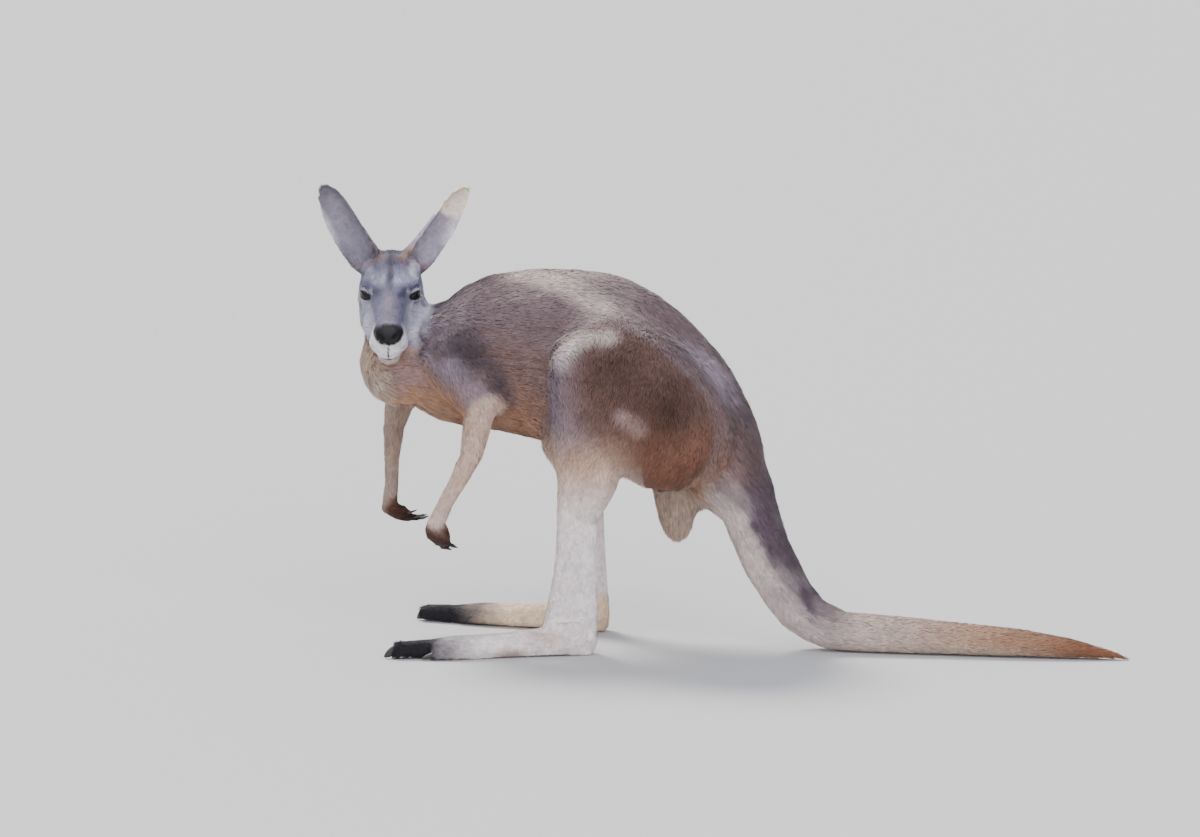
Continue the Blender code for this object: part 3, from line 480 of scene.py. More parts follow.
def eye_opening(side, points):
    """Less than 1 inside the almond between the lids, and the distance from the eye's middle."""
    along, out, rise = eye_axes(side)
    away = points - EYE_POINTS[side]
    distance = size_of(away)
    turn = np.arctan2(away @ along, away @ out)
    tilt = np.arcsin(np.clip(away @ rise / np.maximum(distance, 1e-9), -1, 1))
    wide = np.where(turn > 0, EYE_INNER, EYE_OUTER)
    share = (np.abs(turn) / wide) ** EYE_CORNER + (np.abs(tilt) / EYE_HIGH) ** EYE_CORNER
    return share, distance


def sink_under_eyes(points):
    """The skin goes in behind each eyeball and its lids."""
    for side in SIDES:
        centre = EYE_POINTS[side]
        share, distance = eye_opening(side, points)
        toward = (points - centre) / np.maximum(distance, 1e-9)[:, None]
        close = distance < EYE_RADIUS * 1.7
        inside, around = (share < LID_REACH) & close, (share >= LID_REACH) & close
        behind = np.minimum(EYE_RADIUS * 0.9, distance)
        points = np.where(inside[:, None], centre + toward * behind[:, None], points)
        bowl = np.minimum(EYE_RADIUS * (SOCKET + SOCKET_RISE * np.clip(share - LID_REACH, 0, 9)), distance)
        points = np.where(around[:, None], centre + toward * bowl[:, None], points)
        out = eye_axes(side)[1]
        low = (share >= LID_REACH) & (distance < EYE_RADIUS * SOCKET) & (toward @ out > -0.3)
        points = np.where(low[:, None], centre + toward * EYE_RADIUS * SOCKET, points)
    return points


LID_STEPS = 72
# Each row of a lid: how far it is from the opening, and from the eye's middle in eye radii.
LID_ROWS = ((0.0, 0.975), (0.03, 1.03), (0.09, 1.07), (0.2, 1.08), (0.45, 1.075), (0.75, 1.05), (1.0, 1.0))
LID_SPREAD = (0.45, 0.86)


def add_lids(skin):
    """The lids are part of the skin: from the opening over the eyeball and down under the skin around it."""
    bm = bmesh.new()
    bm.from_mesh(skin.data)
    for side in SIDES:
        along, out, rise = eye_axes(side)
        rows = []
        for spread, height in LID_ROWS:
            row = []
            for k in range(LID_STEPS):
                angle = 2 * math.pi * k / LID_STEPS
                c, s = math.cos(angle), math.sin(angle)
                wide = (EYE_INNER if c > 0 else EYE_OUTER) + LID_SPREAD[0] * spread
                turn = math.copysign(abs(c) ** (2 / EYE_CORNER), c) * wide
                tilt = math.copysign(abs(s) ** (2 / EYE_CORNER), s) * (EYE_HIGH + LID_SPREAD[1] * spread)
                way = (out * math.cos(turn) + along * math.sin(turn)) * math.cos(tilt) + rise * math.sin(tilt)
                hood = 1 + 0.05 * max(0.0, s) * math.sin(math.pi * min(1.0, spread * 1.6))
                row.append(bm.verts.new(Vector(EYE_POINTS[side] + way * EYE_RADIUS * height * hood)))
            rows.append(row)
        for row, after in zip(rows, rows[1:]):
            for k in range(LID_STEPS):
                n = (k + 1) % LID_STEPS
                face = bm.faces.new((row[k], row[n], after[n], after[k]))
                face.smooth = True
                face.normal_update()
                if face.normal.dot(Vector(out)) < 0:
                    face.normal_flip()
    bm.to_mesh(skin.data)
    bm.free()


def face_folds(points, normals):
    """Nostrils, the line of the mouth, the groove under the nose, the whisker pads and the brows."""
    front, side, up = in_head(points)
    width = np.abs(side)
    mouth = mouth_height(front, width)
    into = 0.0055 * nostril_share(front, width, up)
    into += 0.0012 * bump(0, 0.003, side) * nose_share(points) * ramp(NOSE_UP + 0.004, NOSE_UP - 0.004, up)
    groove = bump(0, 0.0022, side) * (front > MUZZLE * 0.8)
    groove = 0.0016 * groove * ramp(NOSE_LOW + 0.004, NOSE_LOW - 0.001, up)
    into += groove * ramp(-0.001, 0.003, up - mouth)
    into += 0.0022 * bump(0, 0.0028, up - mouth) * ramp(MUZZLE * 0.25, MUZZLE * 0.45, front)
    brow = np.sqrt(((width - 0.028) / 0.022) ** 2 + ((up - 0.015) / 0.008) ** 2)
    into -= 0.0028 * (1 - ramp(0.1, 1.0, brow)) * (front > -0.01)
    pad = np.sqrt(((front - MUZZLE * 0.8) / 0.022) ** 2 + ((up - mouth - 0.013) / 0.013) ** 2)
    into -= 0.0016 * (1 - ramp(0.2, 1.0, pad)) * (width > 0.006)
    return points - normals * into[:, None]


def nose_share(points):
    """1 on the bare skin of the nose."""
    front, side, up = in_head(points)
    round_nose = np.sqrt((side / 0.0235) ** 2 + ((up - NOSE_UP) / 0.015) ** 2)
    return ramp(1.06, 0.94, round_nose) * ramp(MUZZLE * 0.8, MUZZLE * 0.92, front)


def nostril_share(front, width, up):
    """1 in each nostril, a comma that curls up and out."""
    across = (width - 0.0125 - (up - NOSE_UP) * 0.5) / 0.0055
    high = (up - NOSE_UP + 0.002 - (width - 0.0125) * 0.25) / 0.004
    return (1 - ramp(0.45, 1.05, np.hypot(across, high))) * (front > MUZZLE * 0.88)


def mouth_height(front, width):
    """How high the mouth's line is: lowest under the nose, rising and then dipping towards the cheek."""
    return -0.0665 + 0.004 * ramp(0.0, 0.022, width) + 0.01 * ramp(MUZZLE * 0.9, MUZZLE * 0.3, front)


def calm_places(points):
    """Where the skin is drawn smooth: the haunches' tops and fronts, the throat and the sac."""
    calm = near(points, path("scrotum", (0.5, 0.5, 0.9), (0.5, 0.5, 0.1)), 0.04, 0.06)
    behind = ramp(0.0, -0.03, in_head(points)[0])
    throat = near(points, [from_head(-0.04, 0, -0.05), at("neck", 0.5, 0.5, 0.0)], 0.035, 0.075)
    calm = np.maximum(calm, behind * throat)
    for side, way in SIDES.items():
        thigh = f"thigh_{side}"
        top = np.array(path(thigh, (0.22, 0.5, 0.98), (0.45, 0.5, 1.03), (0.8, 0.5, 0.8), (1.0, 0.5, 0.5)))
        away = np.abs(side_of_line(points, top[:, [0, 2]])[0])
        fold = path(thigh, (-0.04, 0.5, 0.26), (0.0, 0.4, 0.5), (0.02, 0.3, 0.85))
        calm = np.maximum(calm, near(points, fold, 0.03, 0.055) * 0.8)
        calm = np.maximum(calm, (1 - ramp(0.02, 0.045, away)) * (points[:, 1] * way > CLEAR_OF_MIDDLE))
    return calm


def build_skin():
    skin = joined_flesh()
    remesh_skin(skin)
    mesh = skin.data
    points = points_of(mesh)
    _, sizes = coat_fields(points)
    depth = sizes[:, 0] + OVERLAP
    nose_skin = ramp(0.75, 1.1, size_of(points - NOSE) / 0.022)
    depth = depth * (0.35 + 0.65 * nose_skin)
    points = points - normals_of(mesh) * depth[:, None]
    calm = np.full(len(points), 0.5) * ramp(0.0012, 0.003, sizes[:, 0])
    points = relax(mesh, points, calm, 5)
    points = relax(mesh, points, calm_places(points), 30)
    put_points(mesh, points)
    points = muscle_lines(points, normals_of(mesh))
    put_points(mesh, points)
    points = face_folds(points, normals_of(mesh))
    points = sink_under_eyes(points)
    put_points(mesh, points)
    mesh.shade_smooth()
    add_lids(skin)
    return skin


# ---- markings: colours, then places in metres


def linear(red, green, blue):
    """A linear colour from the usual 0 to 255 values."""
    shade = np.array((red, green, blue)) / 255
    return np.where(shade <= 0.04045, shade / 12.92, ((shade + 0.055) / 1.055) ** 2.4)


BACK = linear(130, 112, 114)
# the colour of the back's sunlit top: painted sunlight
SUNLIT_RIDGE = linear(200, 184, 176)
FLANK = linear(132, 108, 102)
BELLY = linear(166, 128, 104)
CREAM = linear(205, 188, 172)
CHEST = linear(208, 172, 148)
SHOULDER = linear(156, 142, 154)
HAUNCH = linear(120, 94, 86)
RUSSET = linear(128, 90, 72)
UMBER = linear(76, 50, 42)
PATCH_PALE = linear(190, 166, 160)
# painted sunlight on the top of each knee
SUNLIT_KNEE = linear(250, 240, 230)
SHIN = linear(250, 240, 238)
THIGH_LOW = linear(216, 186, 166)
FOREARM = linear(214, 188, 172)
OCHRE = linear(176, 134, 98)
TOE = linear(42, 38, 44)
# the far foot's cream, darker and warmer than the near one's: painted shade
SHADED_FAR_FOOT = linear(238, 214, 188)
HAND = linear(92, 58, 40)
TAIL_TOP = linear(108, 92, 102)
TAIL_SIDE = linear(232, 217, 211)
TAIL_FAR = linear(180, 146, 122)
TAIL_GROUND = linear(216, 198, 186)
TAIL_TIP = linear(140, 98, 74)
SHADE = linear(78, 66, 71)
SAC = linear(186, 166, 150)
# the face's grey-mauve, tinted bluer than the fur's own colour: painted blue shade from the sky
FACE = linear(110, 108, 132)
CHEEK = linear(198, 195, 210)
BRIDGE = linear(140, 130, 142)
FACE_DARK = linear(54, 50, 66)
WHITE = linear(240, 236, 240)
NOSE_SKIN = linear(26, 22, 24)
NOSE_DARK = linear(14, 11, 12)
LID_DARK = linear(30, 25, 27)
EAR_BACK = linear(154, 148, 160)
EAR_ROOT = linear(146, 118, 100)
# painted sunlight on the left ear's tip
SUNLIT_EAR_TIP = linear(255, 246, 230)
CONTRAST = 1.15
BLOTCH = 0.03  # the size of the coat's soft patches of tone


def mix(base, other, share):
    return base + (np.asarray(other) - base) * np.clip(share, 0, 1)[:, None]


def layered(colour, *layers):
    """Lays each shade over what is there already, as far as its share says."""
    for shade, share in layers:
        colour = mix(colour, shade, share)
    return colour


def markings(points, normals):
    """The coat's colour, the same for the skin and for every tuft."""
    mottle = noise(points, BLOTCH)
    colour = trunk_markings(points, normals, mottle)
    colour = leg_markings(colour, points, mottle)
    colour = arm_markings(colour, points)
    colour = tail_markings(colour, points, normals, mottle)
    colour = head_markings(colour, points)
    colour = ear_markings(colour, points)
    return np.clip(colour, 0, 1) ** CONTRAST


def trunk_markings(points, normals, mottle):
    """Grey back with painted sunlight on its top and along the ridge, browner flanks, painted shade at the
    nape and withers, and a pale belly and chest.
    """
    x, _, z = points.T
    upward = normals[:, 2]
    breast, rump_end = x_at("trunk", 0), x_at("trunk", 1)
    along = (x - breast) / (rump_end - breast)
    # painted sunlight: lighter where the back faces up, in dappled patches
    sunny = ramp(0.55, 0.92, upward) * (0.35 + 1.0 * ramp(0.35, 0.7, noise(points, 0.05)))
    # the saddle is a line of painted sunlight along the top of the back
    saddle = path("trunk", (0.37, 0.4, 0.99), (0.48, 0.33, 0.95), (0.6, 0.22, 0.875))
    rump = path("trunk", (0.8, 0.2, 0.84), (0.93, 0.3, 0.52))
    withers = path("trunk", (0.27, 0.1, 0.86), (0.29, 0.1, 0.68))
    left_nape = [from_head(-0.09, 0.03, -0.03), at("upper_arm_left", 0.45, 0.5, 0.72)]
    right_nape = [from_head(-0.09, -0.03, -0.03), at("upper_arm_right", 0.75, 0.5, 0.72)]
    sac = path("scrotum", (0.5, 0.5, 0.75), (0.5, 0.5, 0.0))
    throat = [from_head(0.01, -0.03, -0.085), *path("trunk", (0.24, 0.1, 0.42), (0.34, 0.1, 0.25))]
    chest, under = ramp(0.34, 0.1, along), ramp(-0.05, -0.75, upward)
    breast_front = ramp(breast + 0.085, breast + 0.02, x) * (z > 0.33)
    return layered(
        BACK,
        # painted sunlight on the back's top and along its ridge
        (SUNLIT_RIDGE, sunny * 0.6 * ramp(0.8, 0.52, along)),
        (SUNLIT_RIDGE * 1.15, near(points, saddle, 0.006, 0.036) * (0.4 + 0.6 * mottle)),
        (SHOULDER * 1.5, near(points, rump, 0.012, 0.045) * 0.8),
        (FLANK, ramp(0.45, 0.0, upward)),
        (SHOULDER, chest * 0.8),
        (BELLY, under),
        (CHEST, under * chest * 0.7),
        (CREAM, breast_front * 0.85 * ramp(0.0, 0.6, -normals[:, 0] - normals[:, 1] * 0.3)),
        # painted shade at each side of the nape and behind the withers
        (SHADE, near(points, left_nape, 0.012, 0.05) * 0.75),
        (SHADE, near(points, withers, 0.01, 0.042) * 0.6),
        (SHADE, near(points, right_nape, 0.012, 0.05) * 0.75),
        (SAC, near(points, sac, 0.04, 0.058) * 0.85),
        (OCHRE, near(points, throat, 0.012, 0.05) * 0.5 * (0.5 + 0.7 * mottle)),
    )


def leg_markings(colour, points, mottle):
    for side, way in SIDES.items():
        outer = ramp(0.03, 0.06, points[:, 1] * way)
        past_edge = side_of_line(points, smooth_line(haunch_edge(side), 4))[0]
        colour = haunch_markings(colour, points, mottle, side, outer * ramp(0.006, -0.004, past_edge))
        colour = shank_markings(colour, points, mottle, side, outer)
        colour = foot_markings(colour, points, mottle, side, outer)
    return colour


def haunch_markings(colour, points, mottle, side, on_leg):
    """Brown, darkest in the middle, with painted sunlight on the knee's top, a pale spot and a grey front."""
    thigh = f"thigh_{side}"
    skin, edge = from_outside(side, 0.05), from_outside(side, 0.3)
    dark = path(thigh, (0.44, 0.5, 0.72), (0.66, 0.5, 0.54))
    rear = path(thigh, (0.6, 0.5, 0.28), (0.74, 0.5, 0.14), (0.88, 0.5, 0.22))
    spot = path(thigh, (0.5, skin, 0.5), (0.6, skin, 0.42))
    knee = path(thigh, (0.05, edge, 0.86), (0.14, edge, 0.99), (0.27, edge, 1.05), (0.38, edge, 1.04))
    front = path(thigh, (0.02, 0.5, 0.72), (0.1, 0.5, 0.35))
    return layered(
        colour,
        (HAUNCH, on_leg * 0.9),
        (UMBER, on_leg * near(points, dark, 0.012, 0.085) * (0.75 + 0.4 * mottle)),
        (RUSSET, on_leg * near(points, rear, 0.008, 0.085) * 0.9),
        (PATCH_PALE, on_leg * near(points, spot, 0.0, 0.026) * (0.3 + 0.6 * mottle)),
        # painted sunlight along the knee's top
        (SUNLIT_KNEE, on_leg * near(points, knee, 0.012, 0.044) * (0.75 + 0.5 * mottle)),
        (SHOULDER * (1.0, 0.97, 0.94), on_leg * near(points, front, 0.015, 0.085) * 0.8),
    )


def shank_markings(colour, points, mottle, side, outer):
    """The thigh fades downwards into the white shin, with a stain at the bend behind the knee."""
    x, _, z = points.T
    thigh = f"thigh_{side}"
    skin = from_outside(side, 0.05)
    fade = ramp(z_at(thigh, 0.48), z_at(thigh, 0.08), z) * ramp(x_at(thigh, 0.66), x_at(thigh, 0.36), x)
    shin = (x < x_at(thigh, 0.6)) * ramp(z_at(thigh, 0.24), z_at(thigh, -0.28), z)
    stain = path(thigh, (0.16, skin, 0.22), (0.34, skin, 0.12))
    return layered(
        colour,
        (THIGH_LOW, outer * fade),
        (SHIN, outer * shin),
        (OCHRE, outer * near(points, stain, 0.0, 0.034) * 0.6 * (0.3 + mottle)),
    )


FOOT_TOP = 0.06  # the feet are lower than this


def foot_markings(colour, points, mottle, side, outer):
    """Stains at the heel and along the sole, and black toes. The far foot is painted a darker, warmer cream
    as painted shade.
    """
    x, _, z = points.T
    foot = f"foot_{side}"
    heel = from_outside(side, 0.42)
    ankle = near(points, path(foot, (0.7, heel, 0.8), (0.97, heel, 0.3)), 0.0, 0.03)
    sole = near(points, path(foot, (0.95, 0.15, 0.0), (0.3, 0.6, 0.0)), 0.006, 0.022)
    low = outer * (z < FOOT_TOP)
    return layered(
        colour,
        (OCHRE, outer * ankle * 0.7 * (0.6 + 0.8 * mottle)),
        (OCHRE * 0.7, outer * sole * 0.6),
        # painted shade: the far foot only is painted darker and warmer
        (SHADED_FAR_FOOT, outer * ramp(0.075, 0.05, z) * (side == "right")),
        (TOE * 3.0, low * ramp(x_at(foot, 0.5), x_at(foot, 0.3), x) * (0.45 + 0.5 * mottle)),
        (TOE, low * ramp(x_at(foot, 0.3), x_at(foot, 0.21), x)),
    )


def arm_markings(colour, points):
    """Pale forearms, the far one painted darker as painted shade, painted light along each upper arm and
    painted shade behind the elbow, and brown hands that darken towards the fingers.
    """
    for side in SIDES:
        upper = f"upper_arm_{side}"
        wrist, tips = hand_line(side)
        elbow = at(upper, 0.76, 0.3, 0.16) if side == "left" else at(upper, 0.22, 0.7, 0.16)
        lit = [at(upper, SHOULDER_AT[side], 0.5, 0.62), elbow]
        behind = [elbow + (0.032, 0, 0.012), elbow + (0.004, 0, 0.075)]
        arm = [elbow, middle(f"forearm_{side}"), wrist]
        share = (points - wrist) @ unit(tips - wrist) / np.linalg.norm(tips - wrist)
        palm = mix(HAND * 1.3, HAND * 0.35, ramp(0.1, 0.8, share))
        colour = layered(
            colour,
            # painted light along the upper arm to the elbow, and painted shade behind the elbow
            (SHOULDER * 1.35, near(points, lit, 0.004, 0.03) * 0.6),
            (SHADE, near(points, behind, 0.006, 0.026) * 0.8),
            # the far forearm is painted at 0.56 of the near one's colour: painted shade
            (FOREARM * (1 if side == "left" else 0.56), near(points, arm, 0.02, 0.036) * 0.9),
            (palm, near(points, [wrist, tips], 0.022, 0.034) * ramp(-0.05, 0.25, share)),
        )
    return colour


def tail_markings(colour, points, normals, mottle):
    """Dark along the top and pale below, brown towards the tip, with a band of painted shade down from the
    rump.
    """
    x, _, z = points.T
    root, base_end = x_at("tail_base", 0), x_at("tail_base", 1)
    below = ramp(z_at("tail_base", 1.15), z_at("tail_base", 0.8), z)
    on_tail = np.maximum(ramp(root - 0.02, root + 0.03, x) * below, ramp(base_end, base_end + 0.01, x))
    facing = normals[:, 0] * 0.8 + normals[:, 2] * 0.6
    upper_side = ramp(-0.8, 0.7, facing + (mottle - 0.5) * 0.6)
    shade = mix(TAIL_SIDE, TAIL_TOP, upper_side * (0.75 + 0.5 * mottle))
    shade = mix(shade, TAIL_GROUND, ramp(x_at("tail_middle", 0.22), x_at("tail_middle", 0.5), x) * 0.8)
    distant = mix(TAIL_FAR, CREAM, ramp(0.2, -0.6, normals[:, 2]) * 0.6)
    distant = mix(distant, TAIL_TIP, ramp(x_at("tail_end", 0.1), x_at("tail_end", 0.85), x))
    shade = mix(shade, distant, ramp(x_at("tail_middle", 0.4), x_at("tail_end", 0.3), x))
    # painted shade in a band down from the rump onto the tail's root
    band = path("trunk", (0.92, 0.35, 0.48), (0.98, 0.35, 0.2))
    band += [at("tail_base", 0.8, 0.5, 0.68), at("tail_middle", 0.1, 0.5, 1.0)]
    band = near(points, band, 0.012, 0.05) * 0.55 * (0.8 + 0.2 * mottle)
    return layered(colour, (shade, on_tail), (SHADE, band * ramp(-0.6, 0.3, facing)))


def head_markings(colour, points):
    """The grey face, lighter to the sides and under the nose."""
    front, side, up = in_head(points)
    width = np.abs(side)
    reach = size_of(np.stack((front * 0.72 - 0.01, side * 1.45, (up + 0.012) * 0.95), 1))
    on_head = ramp(0.104, 0.088, reach) * ramp(-0.068, -0.042, front + up * 0.8)
    on_head = on_head * ramp(0.066, 0.052, width) * ramp(-0.086, -0.072, up)
    on_head = on_head * (1 - ramp(-0.03, -0.056, up) * ramp(0.036, 0.05, width))
    face = cheek_markings(forehead_markings(points), points)
    face = muzzle_markings(face, points)
    for name in SIDES:
        face = eye_markings(face, points, name)
    return nose_markings(mix(colour, face, on_head), points)


def forehead_markings(points):
    """A dark line and crown, and over each eye a pale band with dark flecks below it."""
    front, side, up = in_head(points)
    width = np.abs(side)
    blotch = noise(points, 0.011)
    height = up - 0.027 + width * 0.14
    band = bump(0, 0.009, height) * ramp(0.003, 0.01, width) * (front > -0.02)
    brow = bump(-0.0125, 0.0085, height) * bump(0.02, 0.018, width) * (front > -0.02)
    return layered(
        FACE,
        (FACE_DARK, bump(0, 0.0075, side) * ramp(0.01, 0.03, up) * 0.75),
        (FACE_DARK, ramp(0.03, 0.048, up) * ramp(0.026, 0.012, width) * 0.8),
        (CHEEK, band * (0.25 + 0.6 * blotch)),
        (FACE_DARK, brow * (0.35 + 0.6 * ramp(0.3, 0.7, blotch))),
    )


def cheek_markings(face, points):
    front, side, up = in_head(points)
    width = np.abs(side)
    streak = bump(0.0265, 0.0075, width) * ramp(-0.004, -0.018, up) * ramp(-0.062, -0.04, up)
    return layered(
        face,
        (WHITE, streak * 0.45 * (front > 0.01)),
        (WHITE, ramp(0.034, 0.05, width) * ramp(0.02, -0.03, up) * 0.65),
        (CHEEK, ramp(0.02, 0.034, width) * ramp(0.012, -0.012, up) * 0.8),
    )


def muzzle_markings(face, points):
    """Grey bridge, white lips, a pale rim under the nose, and the dark lines of the mouth."""
    front, side, up = in_head(points)
    bridge = bump(0, 0.02, side) * ramp(0.02, 0.06, front) * ramp(-0.03, 0.0, up)
    muzzle = ramp(MUZZLE * 0.55, MUZZLE * 0.8, front) * ramp(-0.02, -0.034, up)
    stripe = bump(-0.05, 0.016, up) * ramp(MUZZLE * 0.15, MUZZLE * 0.5, front)
    rim = bump(0.0275, 0.0075, size_of(points - NOSE)) * ramp(0.012, -0.004, up - NOSE_UP)
    mouth = mouth_height(front, np.abs(side))
    groove = bump(0, 0.0034, side) * ramp(NOSE_LOW + 0.006, NOSE_LOW, up) * (up > mouth - 0.001)
    return layered(
        face,
        (BRIDGE, bridge * 0.8),
        (WHITE, np.maximum(stripe * 0.85, muzzle * 0.85)),
        (WHITE * 1.05, rim * 0.9),
        (CHEST * 0.85, ramp(-0.064, -0.074, up) * 0.8),
        (NOSE_DARK, bump(0, 0.0026, up - mouth) * ramp(MUZZLE * 0.35, MUZZLE * 0.6, front)),
        (NOSE_DARK, groove * (front > MUZZLE * 0.8)),
    )


def eye_markings(face, points, name):
    """A pale ring, the dark rims of the lids, reaching further up with painted shade under the brow, and dark
    corners.
    """
    along, out, rise = eye_axes(name)
    centre = EYE_POINTS[name]
    share, distance = eye_opening(name, points)
    close = (distance < EYE_RADIUS * 2.4) & ((points - centre) @ out > 0)
    above = ramp(0.0, 0.3, (points - centre) @ rise / EYE_RADIUS)
    # the dark rim reaches further above the eye: painted shade under the brow
    edge = ramp(1.55 + above * 0.75, 1.25 + above * 0.35, share)
    inner = centre + out * EYE_RADIUS * 0.6 + along * EYE_RADIUS * 0.8
    outer = centre - along * EYE_RADIUS * 1.25 - rise * 0.006
    return layered(
        face,
        (WHITE, close * bump(2.7, 1.2, share) * 0.4),
        (LID_DARK, close * edge * ramp(1.2, 1.12, distance / EYE_RADIUS)),
        (FACE_DARK, near(points, [inner, inner + along * 0.004 - rise * 0.01], 0.0, 0.006) * 0.6),
        (FACE_DARK, near(points, [outer, outer - rise * 0.016], 0.0, 0.009) * 0.55),
    )


def nose_markings(colour, points):
    front, side, up = in_head(points)
    line_down = bump(0, 0.0022, side) * ramp(NOSE_UP, NOSE_UP - 0.006, up)
    dark = np.maximum(nostril_share(front, np.abs(side), up), line_down * 0.8)
    # painted highlight: the nose's top is up to 2.6 times lighter than the rest
    tip = mix(NOSE_SKIN, NOSE_SKIN * 2.6, ramp(NOSE_UP + 0.002, NOSE_UP + 0.014, up))
    return mix(colour, mix(tip, NOSE_DARK, dark), nose_share(points))


def ear_markings(colour, points):
    """Grey backs with white edges, the left one painted lighter with a near-white tip as painted sunlight,
    and brown tufts at the roots.
    """
    _, across, up = in_head(points)
    for side in SIDES:
        ear = f"ear_{side}"
        line = ear_line(side, 0.05)
        on_ear = near(points, line, 0.048, 0.058) * ramp(0.014, 0.026, up)
        on_ear = on_ear * ramp(0.022, 0.034, np.abs(across))
        high = (points[:, 2] - z_at(ear, 0)) / (z_at(ear, 1) - z_at(ear, 0))
        rim = ramp(0.027, 0.034, distance_to(points, line)) * 0.75 * ramp(0.0, 0.15, high)
        if side == "left":
            # painted light: the left ear is 1.45 times lighter, with a near-white tip, for sun shining
            # through it
            slant = high + (points - middle(ear)) @ HEAD_SIDE * 3.0 + (noise(points, 0.01) - 0.5) * 0.1
            shade = layered(EAR_BACK * 1.45, (WHITE, rim), (SUNLIT_EAR_TIP, ramp(0.66, 0.74, slant)))
        else:
            shade = layered(EAR_BACK, (WHITE, rim), (FACE_DARK, ramp(0.75, 1.0, high) * 0.35))
        colour = mix(colour, shade, on_ear)
    for way in SIDES.values():
        root = [from_head(-0.038, way * 0.024, 0.052), from_head(-0.038, way * 0.042, 0.056)]
        tuft = near(points, root, 0.006, 0.028) * (0.35 + 0.8 * noise(points, 0.012))
        colour = mix(colour, EAR_ROOT, tuft)
    return colour


def paint(mesh, colours):
    """Stores a colour at every point for the materials to read."""
    layer = mesh.color_attributes.new("coat", "FLOAT_COLOR", "POINT")
    layer.data.foreach_set("color", np.hstack((colours, np.ones((len(colours), 1)))).ravel())


# ---- the coat

COAT_PIECES = 8
TUFTS = 470000
ABOVE_FLOOR = 0.0003
CLUMP = 0.012  # the size of the clumps that tufts lean and shade together in, and of the finer grain
GRAIN = 0.0045
LENGTHS = (0.75, 1.15)  # the least and most of a tuft's usual length, width and lift
WIDTHS = (0.7, 1.2)
LIFTS = (0.55, 1.0)
TONES = (0.45, 1.7)


def bare_share(points, normals):
    """1 where no hair grows: the nose, the eyes' openings and the soles."""
    bare = nose_share(points)
    for side in SIDES:
        share, distance = eye_opening(side, points)
        close = distance < EYE_RADIUS * 1.5
        bare = np.maximum(bare, close & ((share < 1.4) | (distance < EYE_RADIUS * 0.97)))
    floor = (points[:, 2] < 0.006) & (normals[:, 2] < -0.6)
    return np.maximum(bare, floor)


def scatter(skin):
    """Roots of the tufts: places on the skin with their normals, thicker where the hair is finer."""
    mesh = skin.data
    mesh.calc_loop_triangles()
    corners = np.empty(len(mesh.loop_triangles) * 3, dtype=np.int64)
    mesh.loop_triangles.foreach_get("vertices", corners)
    corners = corners.reshape(-1, 3)
    points, normals = points_of(mesh), normals_of(mesh)
    lie, sizes = coat_fields(points)
    tri = points[corners]
    area = size_of(np.cross(tri[:, 1] - tri[:, 0], tri[:, 2] - tri[:, 0])) / 2
    size = sizes[corners].mean(axis=1)
    bare = bare_share(points, normals)[corners].mean(axis=1)
    chance = area / (size[:, 1] * size[:, 2]) * (1 - bare)
    rng = np.random.default_rng(SEED)
    picked = rng.choice(len(corners), TUFTS, p=chance / chance.sum())
    first, second = np.sqrt(rng.random(TUFTS)), rng.random(TUFTS)
    weights = np.stack((1 - first, first * (1 - second), first * second), 1)[:, :, None]
    fields = (points, normals, lie, sizes)
    roots, up, ways, shape = ((field[corners[picked]] * weights).sum(1) for field in fields)
    up = unit(up)
    ways = unit(ways - up * (ways * up).sum(1)[:, None])
    shape = shape * np.stack((short_places(roots), short_places(roots), np.ones(TUFTS)), 1)
    return roots, up, ways, shape, rng


def short_places(points):
    """Shorter, flatter hair round the eyes and mouth and along the haunch's edge."""
    short = np.ones(len(points))
    for side, way in SIDES.items():
        share, distance = eye_opening(side, points)
        lid = (distance < EYE_RADIUS * 1.9) * ramp(6.5, 1.5, share)
        short = np.minimum(short, 1 - 0.72 * lid)
        away, passed = side_of_line(points, smooth_line(haunch_edge(side), 4))
        edge = ramp(0.016, 0.004, np.abs(away)) * (passed < 0.4)
        short = np.minimum(short, 1 - 0.25 * (edge * (points[:, 1] * way > CLEAR_OF_MIDDLE)))
    front, side, up = in_head(points)
    lips = ramp(0.008, 0.001, np.abs(up - mouth_height(front, np.abs(side)))) * (front > MUZZLE * 0.3)
    by_nose = ramp(0.036, 0.026, size_of(points - NOSE))
    return np.minimum(short, 1 - 0.5 * np.maximum(lips, by_nose))


def unwrap(roots):
    """Where each root lies on an unwrap of the skin: a chart for each guide line, turned round it."""
    guides = all_guides()
    best = np.full(len(roots), FAR_AWAY)
    chart = np.zeros(len(roots), dtype=int)
    share = np.zeros(len(roots))
    angle = np.zeros(len(roots))
    for number, (_, line, radius) in enumerate(guides):
        line = np.array(line)
        length = size_of(np.diff(line, axis=0))
        passed = 0.0
        for start, end, step in zip(line, line[1:], length):
            run = (end - start) / step
            along = np.clip((roots - start) @ run / step, 0, 1)
            gap = roots - start - (along * step)[:, None] * run
            away = size_of(gap) / radius
            level = unit(np.cross(run, (0.0, 1.0, 0.02)))
            turn = np.arctan2(gap @ np.cross(run, level), gap @ level)
            nearer = away < best
            best = np.where(nearer, away, best)
            chart = np.where(nearer, number, chart)
            share = np.where(nearer, (passed + along * step) / length.sum(), share)
            angle = np.where(nearer, turn / (2 * math.pi) + 0.5, angle)
            passed += step
    columns = math.ceil(math.sqrt(len(guides)))
    u = (chart % columns + 0.03 + 0.94 * angle) / columns
    v = (chart // columns + 0.03 + 0.94 * share) / columns
    return np.stack((u, v), 1) * 0.99 + 0.004


def piece_order(roots):
    """The tufts from the front of the animal to its rear, in thin slices."""
    low, high = solid_box[0][0], solid_box[1][0]
    region = np.clip(((roots[:, 0] - low) / (high - low) * 1000).astype(int), 0, 999)
    return np.argsort(region * 1.0 + (roots[:, 1] > BODY_MIDDLE) * 0.5, kind="stable")


